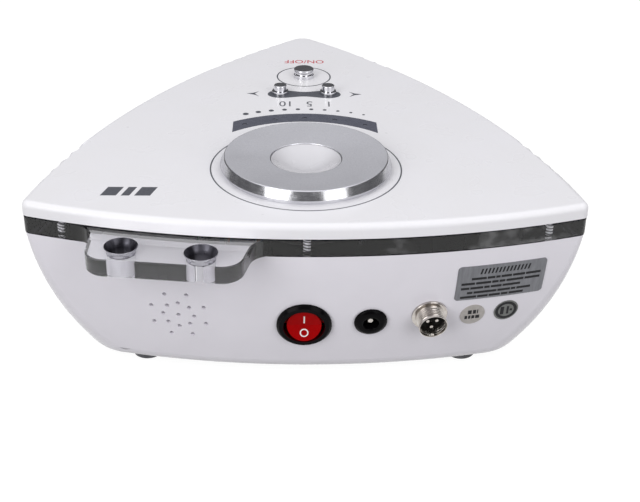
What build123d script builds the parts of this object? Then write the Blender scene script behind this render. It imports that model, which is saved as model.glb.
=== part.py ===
from build123d import *
import math
import os

# Desk-top radio-frequency facial unit: a triangular tub of white plastic under a clear acrylic
# plate and a white top panel. x runs along the rear edge, y from the rear edge to the nose, z up.
# While it is built, y = 0 is the middle of the rear edge and z = 0 the table. The finished
# pieces are moved so that y = 0 is the middle of the overall depth.

# Outline seen from above: three bulged edges with rounded corners
WIDTH = 228.8            # corner to corner along the rear edge
DEPTH = 220.2            # rear edge to nose
REAR_R = 347.0           # radius of the rear edge
SIDE_R = 353.0           # radius of the two side edges
CORNER_R = 3.5           # rear corners
NOSE_R = 8.0             # nose

# Heights of the stack
FOOT_DROP = 4.0          # feet below the base
SHELL_H = 62.7           # lower shell, base to rim
PLATE_T = 7.6            # acrylic plate
TAPE_T = 0.4             # bonding tape
PANEL_T = 6.1            # top panel
Z_RIM = FOOT_DROP + SHELL_H
Z_PLATE = Z_RIM + PLATE_T
Z_PANEL = Z_PLATE + TAPE_T
Z_TOP = Z_PANEL + PANEL_T

# Lower shell: the wall leans in towards the base, more and more
LEAN_TOP = 4.7           # inward lean that grows with depth
LEAN_BASE = 8.6          # inward lean that grows with depth squared
ROUND_TOP = 8.6          # corner radius growth with depth
ROUND_BASE = 13.9        # corner radius growth with depth squared
SHELL_INSET = 0.3        # rim inside the plate's edge
SECTIONS = 5             # outlines that the wall is drawn through
BASE_R = 9.0             # rounding of the base edge
WALL = 2.5
FLOOR = 2.5

# Panel and plate edges
PANEL_EDGE_R = 2.5
PLATE_INSET = 0.2
PLATE_EDGE_R = 0.5
TAPE_INSET = 2.0

# Tongue of the plate that carries the two probe cups
TONGUE_IN = 29.1         # from the left end of the rear edge
TONGUE_W = 59.3          # between the front corners before rounding
TONGUE_FLARE = 5.5       # the right side runs out by this much at the rear edge
TONGUE_FRONT_LEFT = 14.9
TONGUE_FRONT_RIGHT = 22.0
TONGUE_CORNER_R = 8.5
TONGUE_NECK_R = 9.0

# Probe cups
CUP_IN = (14.3, 45.0)    # from the tongue's left side
CUP_FRONT = (10.0, 15.0)  # in front of the middle of the rear edge
CUP_RIM_R = 6.55
CUP_NECK_R = 5.7
CUP_SPIGOT_R = 5.4
CUP_BORE_R = 4.9
CUP_H = 3.0
CUP_LIP = 0.8            # height of the flare inside the rim
CUP_SPIGOT_H = 7.0

# Fits
FIT = 0.05               # radial clearance of a seated piece in its hole
RUN = 0.08               # radial clearance of a piece that moves
SCREW_FIT = 0.02         # around a screw in its pilot hole
SEAT = 0.05              # flat flange in front of the curved wall

# Rest ring and its dish
RING_Y = 53.25
RING_TOP_R = 34.7
RING_WIDE_R = 36.55
RING_NECK_R = 35.4
RING_H = 5.9             # at the outer edge
RING_INNER_H = 4.4       # at the bore
RING_WAIST_H = 1.95      # height of the widest edge
DISH_R = 15.0
DISH_TOP = 4.1
DISH_DEPTH = 6.0
DISH_LIP = 0.8
RING_SCREWS = 3
RING_SCREW_R = 25.0      # pitch circle
RING_SCREW_FIRST = 90.0  # angle of the first screw, the one nearest the nose
RING_SCREW_DEPTH = 3.0

# Display window: a band round the ring
WINDOW_IN_R = 49.3
WINDOW_OUT_R = 59.0
WINDOW_HALF = 33.0
WINDOW_T = 0.8
LED_CIRCLE_R = 53.6
LED_ANGLES = (-31.0, -15.0, 0.0, 15.0, 31.0)
LED_R = 1.5
LED_H = 5.0

# Push buttons: name, x, distance from the nose, cap radius, collar radius
POWER = ("power", 0.0, 60.0, 5.0, 5.0)
UP = ("intensity_up", -11.6, 82.6, 3.1, 4.1)
DOWN = ("intensity_down", 11.6, 82.6, 3.1, 4.1)
BUTTON_TOP = 4.4         # cap above the panel
BUTTON_TRAVEL = 1.0
CAP_T = 1.6
COLLAR_H = 1.6           # collar above the panel
COLLAR_WALL = 0.9
STEM_FOOT_R = 2.4        # stem where it meets the switch
PLUNGER_R = 1.7
SWITCH_W = 6.0
SWITCH_H = 3.4

# Control board in the panel's pocket
SKIN = 3.2               # panel thickness over the pocket
POCKET_HALF = 38.0
POCKET_PAST_RING = 39.75  # pocket's rear side past the ring's middle
POCKET_TO_NOSE = 44.2
POCKET_LAND = 4.5        # least width left beside the pocket
BOARD_GAP = 1.5          # pocket edge to board edge
BOARD_T = 1.6
BOARD_DROP = 8.8         # top face of the board below the panel's top face
BOSS_R = 2.9
CONTROL_SCREW_X = 32.5
CONTROL_SCREW_IN = (23.0, 7.0)  # from the pocket's rear and front sides
SMALL_SCREW_R = 1.0
SMALL_HEAD_R = 2.2
SMALL_HEAD_H = 1.4

# Case screws: plate to shell
CASE_CORNER_IN = (16.3, 24.0)  # rear corner screws, from the outline's end and rear middle
CASE_REAR_IN = 8.6
CASE_NOSE_IN = 21.2
CASE_BOSS_R = 4.6
CASE_BOSS_H = 24.0
RIB_T = 2.5
RIB_REACH = 25.0         # past the wall, where the rib is trimmed
SCREW_R = 1.5
HEAD_R = 3.0
HEAD_H = 1.8
CASE_SCREW_REACH = 12.0

# Feet
REAR_FOOT_IN = (45.4, 33.5)    # from the outline's end and the middle of the rear edge
FRONT_FOOT_IN = 50.2           # from the nose
FOOT_R = 6.5
FOOT_BOSS_R = 4.5
FOOT_BOSS_H = 7.0
FOOT_HEAD_LIFT = 1.0     # screw head above the table

# Places on the rear wall: x and height over the table
ROCKER_AT = (-0.8, 32.2)
JACK_AT = (26.5, 33.4)
OUTPUT_AT = (50.85, 35.1)
SPEAKER_AT = (-WIDTH / 2 + 62.0, 34.4)
STICKER_RUN = WIDTH / 2 - OUTPUT_AT[0]      # free wall from the socket to the corner
PALE_STICKER_AT = (OUTPUT_AT[0] + 0.29032 * STICKER_RUN, 32.9)
DARK_STICKER_AT = (OUTPUT_AT[0] + 0.52006 * STICKER_RUN, 33.0)
LABEL_AT = (WIDTH / 2 - 34.6, Z_RIM - 16.7)

# Rocker switch
BEZEL_R = 11.4
BEZEL_T = 2.0
HOUSING_R = 9.9
HOUSING_DEPTH = 14.0
MOUTH_R = 8.6            # opening in the bezel
MOUTH_DEPTH = 10.5
ROCKER_R = 7.1
ROCKER_PIVOT = 2.5       # pivot behind the wall's face
ROCKER_DEPTH = 7.0       # underside of the rocker behind the wall's face
ROCKER_RISE = 2.6        # middle of the rocker in front of the wall's face
ROCK = 11.0              # tilt to either side, degrees
PIVOT_R = 1.2
PIVOT_REACH = 9.4
BLADE = (4.8, 0.8, 10.0)
BLADE_GAP = 5.0

# Power inlet
JACK_FLANGE_R = 6.9
JACK_FLANGE_T = 2.2
JACK_BODY_R = 5.7
JACK_BODY_DEPTH = 13.0
JACK_BORE_R = 3.15
JACK_BORE_DEPTH = 9.5
JACK_PIN_R = 1.05
JACK_NUT_AF = 15.0
TAB = (2.0, 0.6, 5.0)
TAB_X = 3.2
NUT_T = 2.5
NUT_LIFT = 0.3           # flat nut behind the curved wall

# Output socket
OUT_FLANGE_R = 7.5
OUT_FLANGE_T = 1.2
OUT_BARREL_R = 6.0
OUT_REACH = 7.5
OUT_BORE_R = 5.2
OUT_BACK = 9.0
OUT_INSERT_FACE = 2.3    # insert's face in front of the wall
OUT_INSERT_T = 7.3
OUT_PINS = 3
OUT_PIN_R = 0.7
OUT_PIN_CIRCLE = 2.2
OUT_PIN_FIRST = 30.0     # angle of the first pin
OUT_PIN_REACH = 2.8      # in front of the insert
OUT_PIN_TAIL = 4.0       # behind the insert
OUT_NUT_AF = 15.0

# Speaker and its holes
SPEAKER_R = 17.0
SPEAKER_SEAT = 0.9       # flat rim behind the curved wall
SPEAKER_RIM_T = 1.5
SPEAKER_RIM_W = 2.0
SPEAKER_DEPTH = 8.0
MAGNET_R = 8.5
MAGNET_T = 5.0
BASKET_T = 1.0
CONE_T = 0.5
CONE_LIFT = 2.5          # cone's low point in front of the basket's back
SPEAKER_RING_WALL = 1.5
SPEAKER_RING_H = 3.5
SOUND_HOLE_R = 0.9
SOUND_RINGS = ((0.0, 1, 0.0), (6.5, 8, -2.0), (11.9, 8, 25.0))  # radius, holes, first angle

# Labels on the rear wall
LABEL_W = 38.6
LABEL_H = 17.4
LABEL_R = 1.6
LABEL_T = 0.25
STICKER_R = 5.4

# Main board and what stands on it, placed from the board's middle
MAIN_BOARD = (104.0, 76.0)
MAIN_BOARD_Y = 88.0
MAIN_BOARD_T = 1.6
STANDOFF_H = 6.0
STANDOFF_R = 3.5
MAIN_SCREW_X = 46.0
MAIN_SCREW_Y = 32.0
CORE_AT = (-24.0, 14.0)
CORE = (36.0, 14.0, 28.0)
CORE_YOKE = 5.0
CORE_LEG = 9.0
WINDING_Y = 24.0
SINK_AT = (26.0, 16.0)
SINK = (44.0, 3.0, 26.0)
FINS = 7
FIN = (1.6, 11.0)
TRANSISTOR = (10.0, 4.4, 15.5)
TRANSISTOR_X = 11.0
TRANSISTOR_LIFT = 4.0
LEG_W = 0.8
CAPACITOR_R = 6.0
CAPACITOR_H = 20.0
CAPACITORS = ((-42.0, -16.0), (-28.0, -16.0), (-14.0, -16.0))
RELAY_AT = (10.0, -12.0)
RELAY = (19.0, 15.0, 15.0)
CHIP_AT = (34.0, -12.0)
CHIP = (12.0, 12.0, 1.6)
HEADER = (9.0, 6.0, 8.0)
HEADER_Y = -32.0
HEADER_X = {"speaker": -36.0, "power": -6.0, "output": 26.0}
RIBBON_AT = (0.0, 35.0)
RIBBON_W = 12.0
RIBBON_T = 1.0
SOCKET_H = 5.0

# Leads
LEAD_R = 1.3
LEAD_ARC = 0.45          # share of the shorter run that an arc takes
LEAD_STUB = 12.0         # first and last runs

STAND = (Align.CENTER, Align.CENTER, Align.MIN)
Z_FLOOR = FOOT_DROP + FLOOR
Z_MAIN = Z_FLOOR + STANDOFF_H + MAIN_BOARD_T
Z_BOARD = Z_TOP - BOARD_DROP
HOLE_REACH = 12.0        # cutting tools run past the wall by this much
TONGUE_LEFT = -WIDTH / 2 + TONGUE_IN
TONGUE_RIGHT = TONGUE_LEFT + TONGUE_W
CUP_X = tuple(TONGUE_LEFT + inward for inward in CUP_IN)
POCKET_Y = (RING_Y + POCKET_PAST_RING, DEPTH - POCKET_TO_NOSE)
CONTROL_SCREW_Y = (POCKET_Y[0] + CONTROL_SCREW_IN[0], POCKET_Y[1] - CONTROL_SCREW_IN[1])
CASE_SCREWS = (
    (-WIDTH / 2 + CASE_CORNER_IN[0], CASE_CORNER_IN[1]),
    (0.0, CASE_REAR_IN),
    (WIDTH / 2 - CASE_CORNER_IN[0], CASE_CORNER_IN[1]),
    (0.0, DEPTH - CASE_NOSE_IN),
)
FEET = {
    "foot_left": (-WIDTH / 2 + REAR_FOOT_IN[0], REAR_FOOT_IN[1]),
    "foot_right": (WIDTH / 2 - REAR_FOOT_IN[0], REAR_FOOT_IN[1]),
    "foot_front": (0.0, DEPTH - FRONT_FOOT_IN),
}


def rod(radius, low, high, x=0.0, y=0.0):
    """Upright cylinder between two heights."""
    return Pos(x, y, low) * Cylinder(radius, high - low, align=STAND)


def block(size, x, y, low):
    """Upright box that stands at a height."""
    return Pos(x, y, low) * Box(*size, align=STAND)


def turned(points):
    """Solid of revolution about z through (radius, height) points."""
    profile = make_face(Polyline(*[(r, 0, z) for r, z in points], close=True))
    return revolve(profile, Axis.Z)


def meet(centre_a, reach_a, centre_b, reach_b, pick=max):
    """Crossing of two circles: the right-hand one, or the left-hand one with pick=min."""
    gap = math.dist(centre_a, centre_b)
    ux = (centre_b[0] - centre_a[0]) / gap
    uy = (centre_b[1] - centre_a[1]) / gap
    along = (reach_a**2 - reach_b**2 + gap**2) / (2 * gap)
    across = math.sqrt(reach_a**2 - along**2)
    foot = (centre_a[0] + along * ux, centre_a[1] + along * uy)
    return pick((foot[0] - across * uy, foot[1] + across * ux),
                (foot[0] + across * uy, foot[1] - across * ux))


def side_centre():
    """Centre of the right-hand side arc, which touches a rear corner and the nose."""
    x = WIDTH / 2 - CORNER_R
    corner = (x, REAR_R - math.sqrt((REAR_R - CORNER_R) ** 2 - x**2))
    nose = (0.0, DEPTH - NOSE_R)
    return meet(corner, SIDE_R - CORNER_R, nose, SIDE_R - NOSE_R, pick=min)


SIDE_C = side_centre()
REAR_C = (0.0, REAR_R)


def beyond(start, through, reach):
    """Point at a distance past a point, on the line from another."""
    gap = math.dist(start, through)
    return (through[0] + (through[0] - start[0]) / gap * reach,
            through[1] + (through[1] - start[1]) / gap * reach)


def arc(centre, radius, start, end):
    """Arc about a centre between two of its points, the short way."""
    middle = ((start[0] + end[0]) / 2, (start[1] + end[1]) / 2)
    gap = math.dist(centre, middle)
    return ThreePointArc(start, beyond(centre, middle, radius - gap), end)


def mirrored(point):
    return (-point[0], point[1])


def outline(inset, corner_r, nose_r):
    """Face of the bulged triangle, drawn in by an inset, with its own corner radii."""
    rear = REAR_R - inset
    side = SIDE_R - inset
    corner = meet(REAR_C, rear - corner_r, SIDE_C, side - corner_r)
    nose = (0.0, SIDE_C[1] + math.sqrt((side - nose_r) ** 2 - SIDE_C[0] ** 2))
    a = beyond(REAR_C, corner, corner_r)
    b = beyond(SIDE_C, corner, corner_r)
    c = beyond(SIDE_C, nose, nose_r)
    left_corner, left_side = mirrored(corner), mirrored(SIDE_C)
    edges = [
        arc(REAR_C, rear, mirrored(a), a),
        arc(corner, corner_r, a, b),
        arc(SIDE_C, side, b, c),
        arc(nose, nose_r, c, mirrored(c)),
        arc(left_side, side, mirrored(c), mirrored(b)),
        arc(left_corner, corner_r, mirrored(b), mirrored(a)),
    ]
    return make_face(edges)


def slab(inset, low, high):
    """Flat layer of the outline between two heights."""
    return Pos(0, 0, low) * extrude(outline(inset, CORNER_R - inset, NOSE_R - inset), high - low)


def wall_inset(share):
    """Inward lean at a share of the shell's depth, 0 at the rim and 1 at the base."""
    return SHELL_INSET + LEAN_TOP * share + LEAN_BASE * share**2


def tub(inset, floor, edge_r):
    """Solid of the lower shell's form, drawn in by an inset, standing on a raised floor."""
    faces = []
    for k in range(SECTIONS):
        share = (1 - k / (SECTIONS - 1)) * (1 - floor / SHELL_H)
        growth = ROUND_TOP * share + ROUND_BASE * share**2 - inset
        face = outline(wall_inset(share) + inset, CORNER_R + growth, NOSE_R + growth)
        faces.append(Pos(0, 0, Z_RIM - share * SHELL_H) * face)
    solid = loft(faces)
    return fillet(solid.faces().sort_by(Axis.Z)[0].edges(), edge_r)


def wall_plane(place):
    """Plane on the rear wall's outer face: its x along the wall, its z straight out."""
    x, z = place
    share = (Z_RIM - z) / SHELL_H
    radius = REAR_R - wall_inset(share)
    turn = math.asin(x / radius)
    lean = math.atan((LEAN_TOP + 2 * LEAN_BASE * share) / SHELL_H)
    out = (math.sin(turn) * math.cos(lean), -math.cos(turn) * math.cos(lean), -math.sin(lean))
    origin = (radius * math.sin(turn), REAR_R - radius * math.cos(turn), z)
    return Plane(origin=origin, x_dir=(math.cos(turn), math.sin(turn), 0), z_dir=out)


def ring_points(radius, count, first):
    """Evenly spaced places on a circle, the first at an angle in degrees."""
    angles = [math.radians(first + 360.0 * k / count) for k in range(count)]
    return [(radius * math.cos(t), radius * math.sin(t)) for t in angles]


def sound_holes():
    """Centre hole and two rings of holes in front of the speaker."""
    return [wall_plane(SPEAKER_AT) * rod(SOUND_HOLE_R, -HOLE_REACH, HOLE_REACH, x, y)
            for radius, count, first in SOUND_RINGS
            for x, y in ring_points(radius, count, first)]


def rib(x, y):
    """Upright web from a case boss outwards to the wall, and past it."""
    away = math.degrees(math.atan2(y - DEPTH / 3, x))
    web = Pos(RIB_REACH / 2, 0, Z_RIM - CASE_BOSS_H) * Box(RIB_REACH, RIB_T, CASE_BOSS_H, align=STAND)
    return Pos(x, y, 0) * Rot(0, 0, away) * web


def lower_shell():
    """Open-topped tub with its bosses, its wall holes and the speaker's seat."""
    outside = tub(0.0, 0.0, BASE_R)
    shell = outside - tub(WALL, FLOOR, BASE_R - WALL)
    bosses = [rod(CASE_BOSS_R, Z_RIM - CASE_BOSS_H, Z_RIM, x, y) for x, y in CASE_SCREWS]
    bosses += [rib(x, y) for x, y in CASE_SCREWS]
    bosses += [rod(FOOT_BOSS_R, FOOT_DROP, FOOT_DROP + FOOT_BOSS_H, x, y) for x, y in FEET.values()]
    bosses += [rod(STANDOFF_R, FOOT_DROP, Z_FLOOR + STANDOFF_H, x, y) for x, y in main_screw_places()]
    seat = rod(SPEAKER_R + FIT + SPEAKER_RING_WALL, -WALL - SPEAKER_RING_H, -WALL / 2)
    seat -= rod(SPEAKER_R + FIT, -HOLE_REACH, 0)
    bosses.append(wall_plane(SPEAKER_AT) * seat)
    shell += [boss & outside for boss in bosses]
    cuts = [rod(SCREW_R + SCREW_FIT, Z_RIM - CASE_SCREW_REACH, Z_RIM, x, y) for x, y in CASE_SCREWS]
    cuts += [rod(SCREW_R + SCREW_FIT, FOOT_DROP, FOOT_DROP + FOOT_BOSS_H, x, y)
             for x, y in FEET.values()]
    cuts += [rod(SMALL_SCREW_R + SCREW_FIT, Z_FLOOR, Z_FLOOR + STANDOFF_H, x, y)
             for x, y in main_screw_places()]
    cuts.append(wall_plane(ROCKER_AT) * rod(HOUSING_R + FIT, -HOLE_REACH, HOLE_REACH))
    cuts.append(wall_plane(JACK_AT) * rod(JACK_BODY_R + FIT, -HOLE_REACH, HOLE_REACH))
    cuts.append(wall_plane(OUTPUT_AT) * rod(OUT_BARREL_R + FIT, -HOLE_REACH, HOLE_REACH))
    cuts += sound_holes()
    return shell - cuts


def nearest_corner(face, x, y):
    return face.vertices().sort_by_distance((x, y, 0))[0]


def rear_edge(x, inset=0.0):
    """Distance of the rear edge from its middle's tangent at a place along it."""
    radius = REAR_R - inset
    return REAR_R - math.sqrt(radius**2 - x**2)


def plate_face():
    """Outline of the acrylic plate with its rounded tongue."""
    face = outline(PLATE_INSET, CORNER_R - PLATE_INSET, NOSE_R - PLATE_INSET)
    flare_x = TONGUE_RIGHT + TONGUE_FLARE
    corners = [
        (TONGUE_LEFT, DEPTH / 8),
        (TONGUE_LEFT, -TONGUE_FRONT_LEFT),
        (TONGUE_RIGHT, -TONGUE_FRONT_RIGHT),
        (flare_x, rear_edge(flare_x, PLATE_INSET)),
        (flare_x, DEPTH / 8),
    ]
    face += make_face(Polyline(*corners, close=True))
    for x, y in corners[1:3]:
        face = fillet(nearest_corner(face, x, y), TONGUE_CORNER_R)
    for x in (TONGUE_LEFT, flare_x):
        face = fillet(nearest_corner(face, x, rear_edge(x, PLATE_INSET)), TONGUE_NECK_R)
    return face


def pocket(shrink, low, high):
    """Room for the control board: a rectangle kept inside the outline."""
    rear, front = POCKET_Y
    size = (2 * (POCKET_HALF - shrink), front - rear - 2 * shrink)
    face = Pos(0, (rear + front) / 2) * Rectangle(*size)
    inset = POCKET_LAND + shrink
    face &= outline(inset, max(CORNER_R - inset, WALL), max(NOSE_R - inset, WALL))
    return Pos(0, 0, low) * extrude(face, high - low)


def acrylic_plate():
    """Clear plate with its tongue, the control board's window and its screw holes."""
    plate = Pos(0, 0, Z_RIM) * extrude(plate_face(), PLATE_T)
    rims = plate.faces().sort_by(Axis.Z)[0].edges() + plate.faces().sort_by(Axis.Z)[-1].edges()
    plate = chamfer(rims, PLATE_EDGE_R)
    plate -= pocket(0.0, Z_RIM, Z_PLATE)
    for x, front in zip(CUP_X, CUP_FRONT):
        plate -= rod(CUP_SPIGOT_R + FIT, Z_RIM, Z_PLATE, x, -front)
    for x, y in CASE_SCREWS:
        plate -= rod(SCREW_R + RUN, Z_RIM, Z_PLATE, x, y)
        plate -= rod(HEAD_R + RUN, Z_PLATE - HEAD_H, Z_PLATE, x, y)
    for x, y in ring_screw_places():
        plate -= rod(SCREW_R + RUN, Z_RIM, Z_PLATE, x, y)
    return plate


def case_screws():
    """Four screws from the plate down into the shell's bosses."""
    return [rod(HEAD_R, Z_PLATE - HEAD_H, Z_PLATE, x, y)
            + rod(SCREW_R, Z_RIM - CASE_SCREW_REACH, Z_PLATE - HEAD_H, x, y)
            for x, y in CASE_SCREWS]


def ring_screw_places():
    return [(x, RING_Y + y) for x, y in ring_points(RING_SCREW_R, RING_SCREWS, RING_SCREW_FIRST)]


def panel_tape():
    """Sheet that bonds the panel to the plate, open where pieces pass."""
    tape = slab(TAPE_INSET, Z_PLATE, Z_PANEL)
    tape -= pocket(0.0, Z_PLATE, Z_PANEL)
    tape -= rod(DISH_R + FIT, Z_PLATE, Z_PANEL, 0, RING_Y)
    for x, y in ring_screw_places():
        tape -= rod(SCREW_R + RUN, Z_PLATE, Z_PANEL, x, y)
    return tape


def window_face(shrink):
    """Band round the ring, cut off square at both ends, drawn in by a clearance."""
    band = Pos(0, RING_Y) * (Circle(WINDOW_OUT_R - shrink) - Circle(WINDOW_IN_R + shrink))
    half = WINDOW_HALF - shrink
    return band & (Pos(0, RING_Y + WINDOW_OUT_R / 2) * Rectangle(2 * half, WINDOW_OUT_R))


def led_places():
    angles = [math.radians(a) for a in LED_ANGLES]
    return [(LED_CIRCLE_R * math.sin(t), RING_Y + LED_CIRCLE_R * math.cos(t)) for t in angles]


def control_screw_places():
    return [(side * CONTROL_SCREW_X, y) for side in (-1, 1) for y in CONTROL_SCREW_Y]


def button_hole_r(button):
    """Hole in the panel: it takes the collar's sleeve."""
    return stem_r(button) + RUN + COLLAR_WALL


def stem_r(button):
    """The stem is thinner than the cap, and thin enough for the collar's sleeve."""
    name, x, from_nose, cap_r, collar_r = button
    return min(cap_r, collar_r - COLLAR_WALL - RUN)


def top_panel():
    """White cover with the board's pocket, its bosses, and the holes for ring and buttons."""
    panel = slab(0.0, Z_PANEL, Z_TOP)
    panel = fillet(panel.faces().sort_by(Axis.Z)[-1].edges(), PANEL_EDGE_R)
    panel -= pocket(0.0, Z_PANEL, Z_TOP - SKIN)
    for x, y in control_screw_places():
        panel += rod(BOSS_R, Z_BOARD, Z_TOP - SKIN, x, y)
        panel -= rod(SMALL_SCREW_R + SCREW_FIT, Z_BOARD, Z_TOP - SKIN, x, y)
    panel -= Pos(0, 0, Z_TOP - WINDOW_T) * extrude(window_face(0.0), WINDOW_T)
    for x, y in led_places():
        panel -= rod(LED_R + FIT, Z_TOP - SKIN, Z_TOP, x, y)
    for button in (POWER, UP, DOWN):
        panel -= rod(button_hole_r(button) + FIT, Z_PANEL, Z_TOP, button[1], DEPTH - button[2])
    panel -= rod(DISH_R + FIT, Z_PANEL, Z_TOP, 0, RING_Y)
    for x, y in ring_screw_places():
        panel -= rod(SCREW_R + RUN, Z_PANEL, Z_TOP, x, y)
    return panel


def led_window():
    return Pos(0, 0, Z_TOP - WINDOW_T) * extrude(window_face(FIT), WINDOW_T)


def status_leds():
    """Five lamps on the control board, under the window's holes."""
    lamps = []
    for x, y in led_places():
        lamp = rod(LED_R, Z_BOARD, Z_BOARD + LED_H, x, y)
        lamps.append(fillet(lamp.faces().sort_by(Axis.Z)[-1].edges(), LED_R * 0.6))
    return lamps


def rest_ring():
    """Turned aluminium ring, lower towards its bore, with tapped holes in its underside."""
    ring = turned([
        (DISH_R + FIT, 0),
        (RING_NECK_R, 0),
        (RING_NECK_R, RING_WAIST_H * 0.8),
        (RING_WIDE_R, RING_WAIST_H),
        (RING_TOP_R, RING_H),
        (DISH_R + FIT, RING_INNER_H),
    ])
    ring = Pos(0, RING_Y, Z_TOP) * ring
    for x, y in ring_screw_places():
        ring -= rod(SCREW_R + SCREW_FIT, Z_TOP, Z_TOP + RING_SCREW_DEPTH, x, y)
    return ring


def ring_dish():
    """White cup in the ring's bore, standing on the plate, with a round hollow."""
    height = Z_TOP + DISH_TOP - Z_PLATE
    mouth = DISH_R - DISH_LIP
    radius = (mouth**2 + DISH_DEPTH**2) / (2 * DISH_DEPTH)
    body = rod(DISH_R, Z_PLATE, Z_PLATE + height, 0, RING_Y)
    bowl = Pos(0, RING_Y, Z_PLATE + height - DISH_DEPTH + radius) * Sphere(radius)
    return body - bowl


def ring_screws():
    """Three screws from under the plate up into the ring."""
    tip = Z_TOP + RING_SCREW_DEPTH
    return [rod(HEAD_R, Z_RIM - HEAD_H, Z_RIM, x, y) + rod(SCREW_R, Z_RIM, tip, x, y)
            for x, y in ring_screw_places()]


def collar(button):
    """Chrome sleeve in the panel with a raised rim that the cap's stem runs in."""
    name, x, from_nose, cap_r, collar_r = button
    y = DEPTH - from_nose
    sleeve = rod(button_hole_r(button), Z_TOP - SKIN, Z_TOP, x, y)
    rim = rod(max(collar_r, button_hole_r(button)), Z_TOP, Z_TOP + COLLAR_H, x, y)
    rim = chamfer(rim.faces().sort_by(Axis.Z)[-1].edges(), COLLAR_WALL / 4)
    return sleeve + rim - rod(stem_r(button) + RUN, Z_PANEL, Z_TOP + BUTTON_TOP, x, y)


def cap(button):
    """Chrome button: cap, stem and the foot that presses the switch."""
    name, x, from_nose, cap_r, collar_r = button
    y = DEPTH - from_nose
    top = Z_TOP + BUTTON_TOP
    head_low = Z_TOP + COLLAR_H + BUTTON_TRAVEL + RUN if cap_r > stem_r(button) else top - CAP_T
    head = rod(cap_r, head_low, top, x, y)
    head = fillet(head.faces().sort_by(Axis.Z)[-1].edges(), CAP_T / 4)
    stem = rod(stem_r(button), Z_TOP - SKIN / 2, head_low, x, y)
    foot_r = min(STEM_FOOT_R, stem_r(button))
    return head + stem + rod(foot_r, switch_top(), Z_TOP - SKIN / 2, x, y)


def switch_top():
    """Top of a switch's plunger at rest."""
    return Z_BOARD + SWITCH_H + BUTTON_TRAVEL + RUN


def plunger(button):
    """Moving middle of the switch, under the button's foot."""
    return rod(PLUNGER_R, Z_BOARD + SWITCH_H / 2, switch_top(), button[1], DEPTH - button[2])


def switch(button):
    """Switch body on the board, open in the middle for its plunger."""
    x, y = button[1], DEPTH - button[2]
    body = block((SWITCH_W, SWITCH_W, SWITCH_H), x, y, Z_BOARD)
    well = rod(PLUNGER_R + RUN, Z_BOARD + SWITCH_H / 2 - BUTTON_TRAVEL - RUN, Z_BOARD + SWITCH_H, x, y)
    return body - well


def control_board():
    board = pocket(BOARD_GAP, Z_BOARD - BOARD_T, Z_BOARD)
    for x, y in control_screw_places():
        board -= rod(SMALL_SCREW_R + RUN, Z_BOARD - BOARD_T, Z_BOARD, x, y)
    return board


def control_board_screws():
    seat = Z_BOARD - BOARD_T
    return [rod(SMALL_HEAD_R, seat - SMALL_HEAD_H, seat, x, y)
            + rod(SMALL_SCREW_R, seat, Z_TOP - SKIN, x, y)
            for x, y in control_screw_places()]


def probe_cup(x, front):
    """Flared chrome cup on the tongue, its spigot in the plate's bore."""
    thin = CUP_RIM_R - (CUP_NECK_R - CUP_BORE_R) / 2
    cup = turned([
        (CUP_BORE_R, -CUP_SPIGOT_H),
        (CUP_SPIGOT_R, -CUP_SPIGOT_H),
        (CUP_SPIGOT_R, 0),
        (CUP_NECK_R, 0),
        (CUP_NECK_R, CUP_H / 2),
        (CUP_RIM_R, CUP_H * 0.85),
        (CUP_RIM_R, CUP_H),
        (thin, CUP_H),
        (CUP_BORE_R, CUP_H - CUP_LIP),
    ])
    return Pos(x, -front, Z_PLATE) * cup


def rocker_housing():
    """Black bezel and body through the wall, with the rocker's mouth and its pivot holes."""
    bezel = rod(BEZEL_R, SEAT, BEZEL_T)
    bezel = chamfer(bezel.faces().sort_by(Axis.Z)[-1].edges(), BEZEL_T / 2)
    body = bezel + rod(HOUSING_R, -HOUSING_DEPTH, SEAT)
    body -= rod(MOUTH_R, -MOUTH_DEPTH, BEZEL_T)
    hole = Cylinder(PIVOT_R + RUN, 2 * (PIVOT_REACH + RUN))
    return wall_plane(ROCKER_AT) * (body - Pos(0, 0, -ROCKER_PIVOT) * Rot(0, 90, 0) * hole)


def rocker():
    """Red rocker, pressed in at its upper end: two facets that meet in a shallow valley."""
    valley = ROCKER_RISE - ROCKER_R * math.tan(math.radians(ROCK))
    side = make_face(Polyline(
        (0, -ROCKER_R, -ROCKER_DEPTH),
        (0, ROCKER_R, -ROCKER_DEPTH),
        (0, ROCKER_R, ROCKER_RISE),
        (0, 0, valley),
        (0, -ROCKER_R, ROCKER_RISE),
        close=True))
    paddle = extrude(side, ROCKER_R, both=True) & rod(ROCKER_R, -ROCKER_DEPTH, ROCKER_RISE)
    pins = Pos(0, 0, -ROCKER_PIVOT) * Rot(0, 90, 0) * Cylinder(PIVOT_R, 2 * PIVOT_REACH)
    upright = Pos(0, 0, ROCKER_PIVOT) * (paddle + pins)
    return wall_plane(ROCKER_AT) * (Pos(0, 0, -ROCKER_PIVOT) * Rot(-ROCK, 0, 0) * upright)


def rocker_terminals():
    """Three blades that stand out of the housing's back."""
    place = wall_plane(ROCKER_AT)
    return [place * (Pos(0, k * BLADE_GAP, -HOUSING_DEPTH - BLADE[2]) * Box(*BLADE, align=STAND))
            for k in (-1, 0, 1)]


def hex_nut(across, bore):
    """Hexagon nut behind the wall, with its front face near the wall's inner face."""
    front = -WALL - NUT_LIFT
    body = Pos(0, 0, front - NUT_T) * extrude(RegularPolygon(across / math.sqrt(3), 6), NUT_T)
    return body - rod(bore + FIT, front - NUT_T, front)


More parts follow.
